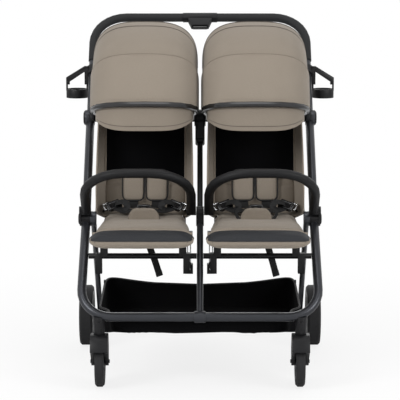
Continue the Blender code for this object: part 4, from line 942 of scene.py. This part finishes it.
def insetWhere(piece, test, *steps):
    # the faces that pass the test are inset, and raised or sunk, one step after another
    makeActive(piece)
    bpy.ops.object.mode_set(mode="EDIT")
    bpy.ops.mesh.select_mode(type="FACE")
    bpy.ops.mesh.select_all(action="DESELECT")
    bpy.ops.object.mode_set(mode="OBJECT")
    for poly in piece.data.polygons:
        poly.select = test(poly)
    bpy.ops.object.mode_set(mode="EDIT")
    for thickness, depth in steps:
        bpy.ops.mesh.inset(thickness=thickness, depth=depth)
    bpy.ops.object.mode_set(mode="OBJECT")
    return piece


def workFaces(piece, direction, *steps):
    # the same for all faces that look one way
    toward = Vector(direction)
    return insetWhere(piece, lambda poly: poly.normal.dot(toward) > 0.95, *steps)


def roundEdges(piece, width, segments=3, limit=40):
    addModifier(piece, "roundedEdges", "BEVEL", width=width, segments=segments, limit_method="ANGLE",
                angle_limit=radians(limit))
    applyAll(piece)
    return smooth(piece, 40)


def block(name, size, centre, turn=0.0):
    clearSelection()
    bpy.ops.mesh.primitive_cube_add(size=1, location=centre, rotation=(radians(turn), 0, 0))
    piece = bpy.context.object
    piece.name = name
    piece.scale = size
    return settle(piece)


def disc(name, radius, depth, centre, sides=40):
    # a round blank whose axis runs across the stroller
    clearSelection()
    bpy.ops.mesh.primitive_cylinder_add(vertices=sides, radius=radius, depth=depth, location=centre,
                                        rotation=(0, radians(90), 0))
    piece = bpy.context.object
    piece.name = name
    return settle(piece)


print("sewing the crotch pads and the harness")
crotch = {"width": 0.096, "height": 0.048, "thickness": 0.015, "cells": (10, 8, 2), "crown": 0.0005, "y": -0.1685,
          "foot": 0.460, "dome": 0.86, "voxel": 0.0030, "pressure": 3.0, "cap": 0.0030,
          "rimHalf": 0.0462, "rimFoot": 0.4690, "rimRise": 0.0370,
          "rimPower": 0.75, "piping": 0.0011, "rimSteps": 40, "crease": (0.0007, 60, 4.0)}
belt = {"width": 0.025, "thickness": 0.0018, "padWidth": 0.028, "slackWidth": 0.020, "loopWidth": 0.009,
        "loopThickness": 0.0014, "turnFrom": (0, 0.030, 0.025), "turnTo": (0, -0.100, 0.498)}

crotchForm = cushionForm("crotchForm", (crotch["width"], crotch["height"], crotch["thickness"]), crotch["cells"],
                         crotch["crown"])
for vert in crotchForm.data.vertices:
    climb = vert.co.y / crotch["height"] + 0.5
    vert.co.x *= sqrt(max(1 - (crotch["dome"] * climb) ** 3, 0.02))
crotchForm = finishPad(inflate(crotchForm, crotch["voxel"], crotch["pressure"], crotch["cap"]))
crease(crotchForm, *crotch["crease"])
upright = Matrix.Rotation(pi / 2, 4, "X")
crotchForm.data.transform(Matrix.Translation((0, crotch["y"], crotch["foot"] + crotch["height"] / 2)) @ upright)
crotchRim = []
for k in range(crotch["rimSteps"] + 1):
    turn = pi * k / crotch["rimSteps"]
    crotchRim.append(Vector((crotch["rimHalf"] * cos(turn), crotch["y"],
                             crotch["rimFoot"] + crotch["rimRise"] * sin(turn) ** crotch["rimPower"])))
crotchPiping = tubeAlong("crotchPipingForm", crotchRim, crotch["piping"])

# the lines of the webbing on the outer side of the seat's middle, each with the way that its broad side looks
crotchLoop = strapAlong("crotchLoopForm", smoothLine([
    (0.038, -0.166, 0.498), (0.053, -0.168, 0.502), (0.060, -0.169, 0.490), (0.054, -0.168, 0.477),
    (0.042, -0.166, 0.472)]), belt["loopWidth"], belt["loopThickness"], (0, -1, 0))
shoulderStrap = strapAlong("shoulderStrapForm", smoothLine([
    onBack(0.036, 0.060, 0.026), onBack(0.035, 0.026, 0.025), (0.031, -0.050, 0.490), (0.021, -0.100, 0.498),
    (0.009, -0.136, 0.503)]), belt["padWidth"], belt["thickness"], (0, -0.35, 1))
waistStrap = strapAlong("waistStrapForm", smoothLine([
    (0.121, -0.012, 0.468), (0.112, -0.040, 0.486), (0.090, -0.074, 0.492), (0.058, -0.104, 0.487),
    (0.030, -0.130, 0.494), (0.010, -0.142, 0.503)]), belt["width"], belt["thickness"], (0, -0.45, 1))
slackLoop = strapAlong("slackLoopForm", smoothLine([
    (0.100, -0.062, 0.490), (0.082, -0.078, 0.508), (0.060, -0.092, 0.512), (0.052, -0.100, 0.499),
    (0.064, -0.096, 0.489)]), belt["slackWidth"], belt["thickness"], (0, -0.8, 1))

clip = {"size": (0.040, 0.030, 0.012), "middle": (0.092, -0.070, 0.499), "round": 0.0022, "tilt": 38, "turn": -28}
adjuster = {"size": (0.024, 0.028, 0.0035), "middle": (0.116, -0.046, 0.4925), "round": 0.0009}
clipTilt = Matrix.Rotation(radians(clip["tilt"]), 4, "X") @ Matrix.Rotation(radians(clip["turn"]), 4, "Z")
sideClip = block("sideClipForm", clip["size"], clip["middle"])
workFaces(sideClip, upward, (0.005, 0.0), (0.0010, -0.0016))
workFaces(sideClip, leftward, (0.002, 0.0), (0.0, 0.0050))
roundEdges(sideClip, clip["round"])
slider = block("sliderForm", adjuster["size"], adjuster["middle"])
workFaces(slider, upward, (0.0035, 0.0), (0.0005, -0.0012))
roundEdges(slider, adjuster["round"], 2)
for piece, middle in ((sideClip, Vector(clip["middle"])), (slider, Vector(adjuster["middle"]))):
    piece.data.transform(Matrix.Translation(middle) @ clipTilt @ Matrix.Translation(-middle))

tail = {"width": 0.0200, "thickness": 0.0016, "facing": (0.2, -1, 0), "hemWidth": 0.0206, "hemThickness": 0.0042,
        "hemTop": (-0.0042, 0, 0.0160), "hemFoot": (-0.0005, 0, 0.0020),
        "left": ((0.031, -0.150, 0.436), (0.036, -0.150, 0.390), (0.050, -0.151, 0.340), (0.062, -0.150, 0.296)),
        "right": ((0.013, -0.150, 0.436), (0.016, -0.150, 0.390), (0.033, -0.152, 0.342), (0.047, -0.150, 0.296))}
waistParts = ((waistStrap, "WaistStrap", webbing), (slackLoop, "SlackLoop", webbing),
              (sideClip, "SideClip", glossPlastic), (slider, "Slider", bareSteel))
for side, sign in sides:
    offset = seatOffset(sign)
    layPad(crotchForm, f"crotchPad_{side}", offset, "chassis", f"seat_pad_{side}")
    lay(crotchPiping, f"crotchPiping_{side}", offset, "chassis", taupePiping)
    loops = ((crotchLoop, "CrotchLoop", webbing),) if side == "left" else ()
    for edge, part in edgeNames:
        flip = edge * sign < 0
        for form, name, look in (*loops, *waistParts):
            lay(form, f"{part}{name}_{side}", offset, "chassis", look, mirrored=flip)
        strap = wear(copyAt(shoulderStrap, f"{part}ShoulderStrap_{side}", offset, mirrored=flip), webbing)
        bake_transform(strap)
    line = smoothLine([offset + Vector(spot) for spot in tail[side]])
    strap = strapAlong(f"hangingStrap_{side}", line, tail["width"], tail["thickness"], tail["facing"])
    place(strap, "chassis", webbing)
    foot = offset + Vector(tail[side][-1])
    hem = strapAlong(f"hangingStrapHem_{side}", [foot + Vector(tail["hemTop"]), foot + Vector(tail["hemFoot"])],
                     tail["hemWidth"], tail["hemThickness"], tail["facing"])
    place(hem, "chassis", webbing)
drop(crotchForm, crotchPiping, crotchLoop, shoulderStrap, waistStrap, slackLoop, sideClip, slider)

print("hanging the basket")
basket = {
    "front": -0.3400, "rear": 0.1780, "frontHalf": 0.2715, "rearHalf": 0.2985, "corner": 9.0, "bottom": 0.1370,
    "rearTop": 0.2335, "frontTop": 0.2150, "sag": 0.0290, "thickness": 0.0022, "fold": 0.46, "floorSpread": 0.965,
    "wallSpread": 0.035, "cut": (0.86, 0.78), "columns": 160, "rows": 44, "hem": 0.0032, "lowest": 0.1345,
    "draw": 0.028, "widenFrom": -0.27, "widenOver": 0.06, "riseFrom": -0.215, "riseOver": 0.125, "rise": 0.031,
    "rimDip": 0.006, "rearDip": 0.008, "broadFold": (9, 0.0040), "fineFold": (26, 0.0020), "foldIn": 0.8}


def basketShape(u, v):
    # from the middle of the floor outwards, round the lower edge and up the wall to the rim
    turn = 2 * pi * u
    across = signedPower(cos(turn), 2 / basket["corner"])
    along = signedPower(sin(turn), 2 / basket["corner"])
    climb = max(0.0, (v - basket["fold"]) / (1 - basket["fold"]))
    spread = min(1.0, v / basket["fold"]) * basket["floorSpread"] + basket["wallSpread"] * climb ** 0.6
    length = basket["rear"] - basket["front"]
    middle = (basket["front"] + basket["rear"]) / 2
    y = middle + along * spread * length / 2
    if y > middle:
        y -= basket["draw"] * (1 - climb) * along * spread
    share = within((y - basket["widenFrom"]) / basket["widenOver"])
    half = basket["frontHalf"] + (basket["rearHalf"] - basket["frontHalf"]) * share * share * (3 - 2 * share)
    x = across * spread * half
    raised = within((basket["riseFrom"] - y) / basket["riseOver"])
    floorZ = basket["bottom"] + basket["rise"] * raised ** 0.8
    back = within((y - basket["front"]) / length)
    rimZ = basket["frontTop"] + (basket["rearTop"] - basket["frontTop"]) * back
    rimZ -= basket["sag"] * (1 - abs(x / half) ** 2.4) * back ** 3
    rimZ -= basket["rimDip"] * sin(pi * back) * abs(across) ** 6
    (broad, broadDepth), (fine, fineDepth) = basket["broadFold"], basket["fineFold"]
    fold = waver(x * broad, y * broad, 2.0) * broadDepth
    fold += waver(x * fine, y * fine, climb * 2) * fineDepth
    z = floorZ + (rimZ - floorZ) * climb ** 1.15 + fold * (1 - climb)
    inward = fold * basket["foldIn"] * sin(pi * climb)
    y -= basket["rearDip"] * (1 - (x / half) ** 2) * max(0.0, along) ** 8 * climb
    return Vector((x - inward * across, y - inward * along, max(z, basket["lowest"])))


basketPiece = gridSheet("basketCloth", basket["columns"], basket["rows"], basketShape, basket["cut"])
outward(basketPiece)
basketArea = finishSheet(basketPiece, basket["thickness"])
place(basketPiece, "chassis", blackCloth, "basket")
rimLine = [basketShape(k / basket["columns"], 1.0) for k in range(basket["columns"])]
basketHem = place(tubeAlong("basketHem", rimLine, basket["hem"], closed=True), "chassis", webbing)

print("fitting the joint covers and caps")
# the steps of a cap or cover go over its outer face towards the middle
upperCap = {"x": 0.3590, "radius": 0.0215, "depth": 0.0040, "round": 0.0010,
            "steps": ((0.0035, 0.0), (0.0012, 0.0018), (0.0090, 0.0), (0.0010, -0.0012))}
lowerCap = {"x": 0.3618, "radius": 0.0170, "depth": 0.0030, "round": 0.0010,
            "steps": ((0.0030, 0.0), (0.0010, 0.0014), (0.0060, 0.0), (0.0008, -0.0010))}
axleCap = {"x": 0.3817, "radius": 0.0180, "depth": 0.0020, "round": 0.0010,
           "steps": ((0.0030, 0.0), (0.0012, 0.0008), (0.0080, -0.0008))}
centreCover = {"half": 0.0175, "radius": 0.0262, "sides": 48, "round": 0.0022,
               "steps": ((0.0045, 0.0), (0.0010, -0.0015), (0.0080, 0.0), (0.0008, 0.0012))}
neckCover = {"size": (0.0290, 0.0300, 0.0660), "below": 0.060, "round": 0.0026}
rearAxle = (0.2200, 0.0960)


def fit(piece, width, look, *faces, segments=3, body="chassis"):
    # each face: the way that it looks, then its steps
    for direction, *steps in faces:
        workFaces(piece, direction, *steps)
    return place(roundEdges(piece, width, segments), body, look)


def hubCap(name, cap, place2d, sign, body, look):
    # a round cap on one side of the stroller, at a place given by its y and z
    piece = disc(name, cap["radius"], cap["depth"], Vector((sign * cap["x"], *place2d)))
    fit(piece, cap["round"], look, ((sign, 0, 0), *cap["steps"]), segments=2, body=body)


upperCover = disc("centreJointCover", centreCover["radius"], 2 * centreCover["half"], upperJoint,
                  centreCover["sides"])
fit(upperCover, centreCover["round"], blackPlastic, (rightward, *centreCover["steps"]),
    (leftward, *centreCover["steps"]))
neck = block("centreNeckCover", neckCover["size"], (0, 0, 0))
fit(neck, neckCover["round"], blackPlastic, (forward, (0.0040, 0.0), (0.0010, -0.0012)),
    (downward, (0.0040, 0.0080)))
neckMiddle = upperJoint - alongFrame * neckCover["below"]
neck.data.transform(Matrix.Translation(neckMiddle) @ Matrix.Rotation(radians(-frameAngle), 4, "X"))
for side, sign in sides:
    hubCap(f"upperHubCap_{side}", upperCap, upperJoint.yz, sign, "handle", blackPlastic)
    hubCap(f"lowerHubCap_{side}", lowerCap, lowerJoint.yz, sign, "chassis", blackPlastic)
    hubCap(f"rearAxleCap_{side}", axleCap, rearAxle, sign, f"rear_wheel_{side}", glossPlastic)

print("covering the wheels")
wheelCover = {"depth": 0.0026, "rimWidth": 0.0085, "sectors": 8, "perSector": 5, "pin": 0.004, "round": 0.0004,
              "pocket": ((0.0022, 0.0), (0.0010, -0.0016)), "dimple": ((0.0060, 0.0), (0.0008, -0.0012))}
wheelSides = {
    "rear": {"radius": 0.0772, "hub": 0.024, "reach": 0.0194, "middle": (0.3625, *rearAxle)},
    "front": {"radius": 0.0562, "hub": 0.019, "reach": 0.0119, "middle": (0.2940, -0.3200, 0.0750)}}


def spokedCover(name, wheel, way):
    # a thin cover with a rim, a hub and pockets between its spokes; way is the side that it looks to
    count = wheelCover["sectors"] * wheelCover["perSector"]
    rim = wheel["radius"] - wheelCover["rimWidth"]
    cover = disc(name, wheel["radius"], wheelCover["depth"], (0, 0, 0), count)
    workFaces(cover, (way, 0, 0), (wheelCover["rimWidth"], 0.0), (rim - wheel["hub"], 0.0))

    def away(poly):
        return sqrt(poly.center.y ** 2 + poly.center.z ** 2)

    def inPocket(poly):
        turn = (atan2(poly.center.z, poly.center.y) / (2 * pi)) % 1.0
        between = wheel["hub"] < away(poly) < rim
        return poly.normal.x * way > 0.95 and between and int(turn * count) % wheelCover["perSector"] > 0

    def inHub(poly):
        return poly.normal.x * way > 0.95 and away(poly) < wheelCover["pin"]

    insetWhere(cover, inPocket, *wheelCover["pocket"])
    insetWhere(cover, inHub, *wheelCover["dimple"])
    roundEdges(cover, wheelCover["round"], 2, 30)
    cover.data.transform(Matrix.Translation(Vector(wheel["middle"]) + Vector((way * wheel["reach"], 0, 0))))
    return cover


for end, wheel in wheelSides.items():
    for way, part in edgeNames:
        form = spokedCover(f"{end}{part}CoverForm", wheel, way)
        for side, sign in sides:
            lay(form, f"{end}{part.capitalize()}WheelCover_{side}", (0, 0, 0), f"{end}_wheel_{side}",
                blackPlastic, mirrored=sign < 0)
        drop(form)

print("joining the calf rests to the seats")
calfJoin = {"half": 0.1460, "seatY": -0.3060, "calfY": -0.3330, "z": 0.4560, "dip": 0.0035, "thickness": 0.0030,
            "cloth": 0.03, "turnFrom": -0.310, "turnTo": -0.329, "ripple": 0.0008}


def calfJoinShape(u, v):
    x = (2 * u - 1) * calfJoin["half"]
    y = calfJoin["seatY"] + (calfJoin["calfY"] - calfJoin["seatY"]) * v
    z = calfJoin["z"] - calfJoin["dip"] * sin(pi * v)
    return Vector((x, y, z + calfJoin["ripple"] * waver(x * 24, v * 3, 8)))


joinForm = gridSheet("calfJoinForm", 48, 12, calfJoinShape, (2 * calfJoin["half"], calfJoin["cloth"]))
joinArea = finishSheet(joinForm, calfJoin["thickness"])
for side, sign in sides:
    offset = seatOffset(sign)
    joinCloth = wear(copyAt(joinForm, f"calfJoinCloth_{side}", offset), taupeSheet)
    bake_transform(joinCloth)
drop(joinForm)

print("adding the link blocks, rods and bolts")
linkage = {"x": 0.0330, "y": -0.1500, "blockZ": 0.3200, "rodTop": 0.4080, "rodFoot": 0.014, "rodShift": 0.0045,
           "rod": 0.0019, "foot": (0.0240, 0.0240, 0.0300), "head": (0.0220, 0.0220, 0.0260), "headUp": 0.0120,
           "round": 0.0022}
linkBolt = {"radius": 0.0046, "depth": 0.0040, "forward": 0.0125, "round": 0.0006}
basketEye = {"radius": 0.0085, "depth": 0.0050, "round": 0.0006, "sunk": ((0.0024, 0.0), (0.0004, -0.0012)),
             "rear": (0.2990, 0.087, 0.2290), "front": (0.2725, -0.300, 0.2120)}
for side, sign in sides:
    linkX = sign * linkage["x"]
    foot = block(f"linkFoot_{side}", linkage["foot"], (linkX, linkage["y"], linkage["blockZ"]))
    fit(foot, linkage["round"], blackPlastic, (forward, (0.0040, 0.0), (0.0008, -0.0014)),
        (upward, (0.0050, 0.0), (0.0006, 0.0040)))
    for shift in (-linkage["rodShift"], linkage["rodShift"]):
        ends = [Vector((linkX + shift, linkage["y"], z))
                for z in (linkage["blockZ"] + linkage["rodFoot"], linkage["rodTop"])]
        rod = tubeAlong(f"linkRod_{side}_{'outer' if shift * sign > 0 else 'inner'}", ends, linkage["rod"])
        place(rod, "chassis", bareSteel)
    head = block(f"linkHead_{side}", linkage["head"], (linkX, linkage["y"], linkage["rodTop"] + linkage["headUp"]))
    fit(head, linkage["round"], blackPlastic, (forward, (0.0040, 0.0), (0.0008, -0.0012)))
    bolt = disc(f"linkBolt_{side}", linkBolt["radius"], linkBolt["depth"], (0, 0, 0), 24)
    fit(bolt, linkBolt["round"], bareSteel, (leftward, (0.0014, 0.0), (0.0004, -0.0014)), segments=2)
    bolt.data.transform(Matrix.Translation((linkX, linkage["y"] - linkBolt["forward"], linkage["blockZ"]))
                        @ Matrix.Rotation(radians(-90), 4, "Z"))
    for end in ("rear", "front"):
        reachX, spotY, spotZ = basketEye[end]
        eye = disc(f"basketEye_{side}_{end}", basketEye["radius"], basketEye["depth"],
                   (sign * reachX, spotY, spotZ), 32)
        fit(eye, basketEye["round"], blackPlastic, (rightward, *basketEye["sunk"]),
            (leftward, *basketEye["sunk"]), segments=2)
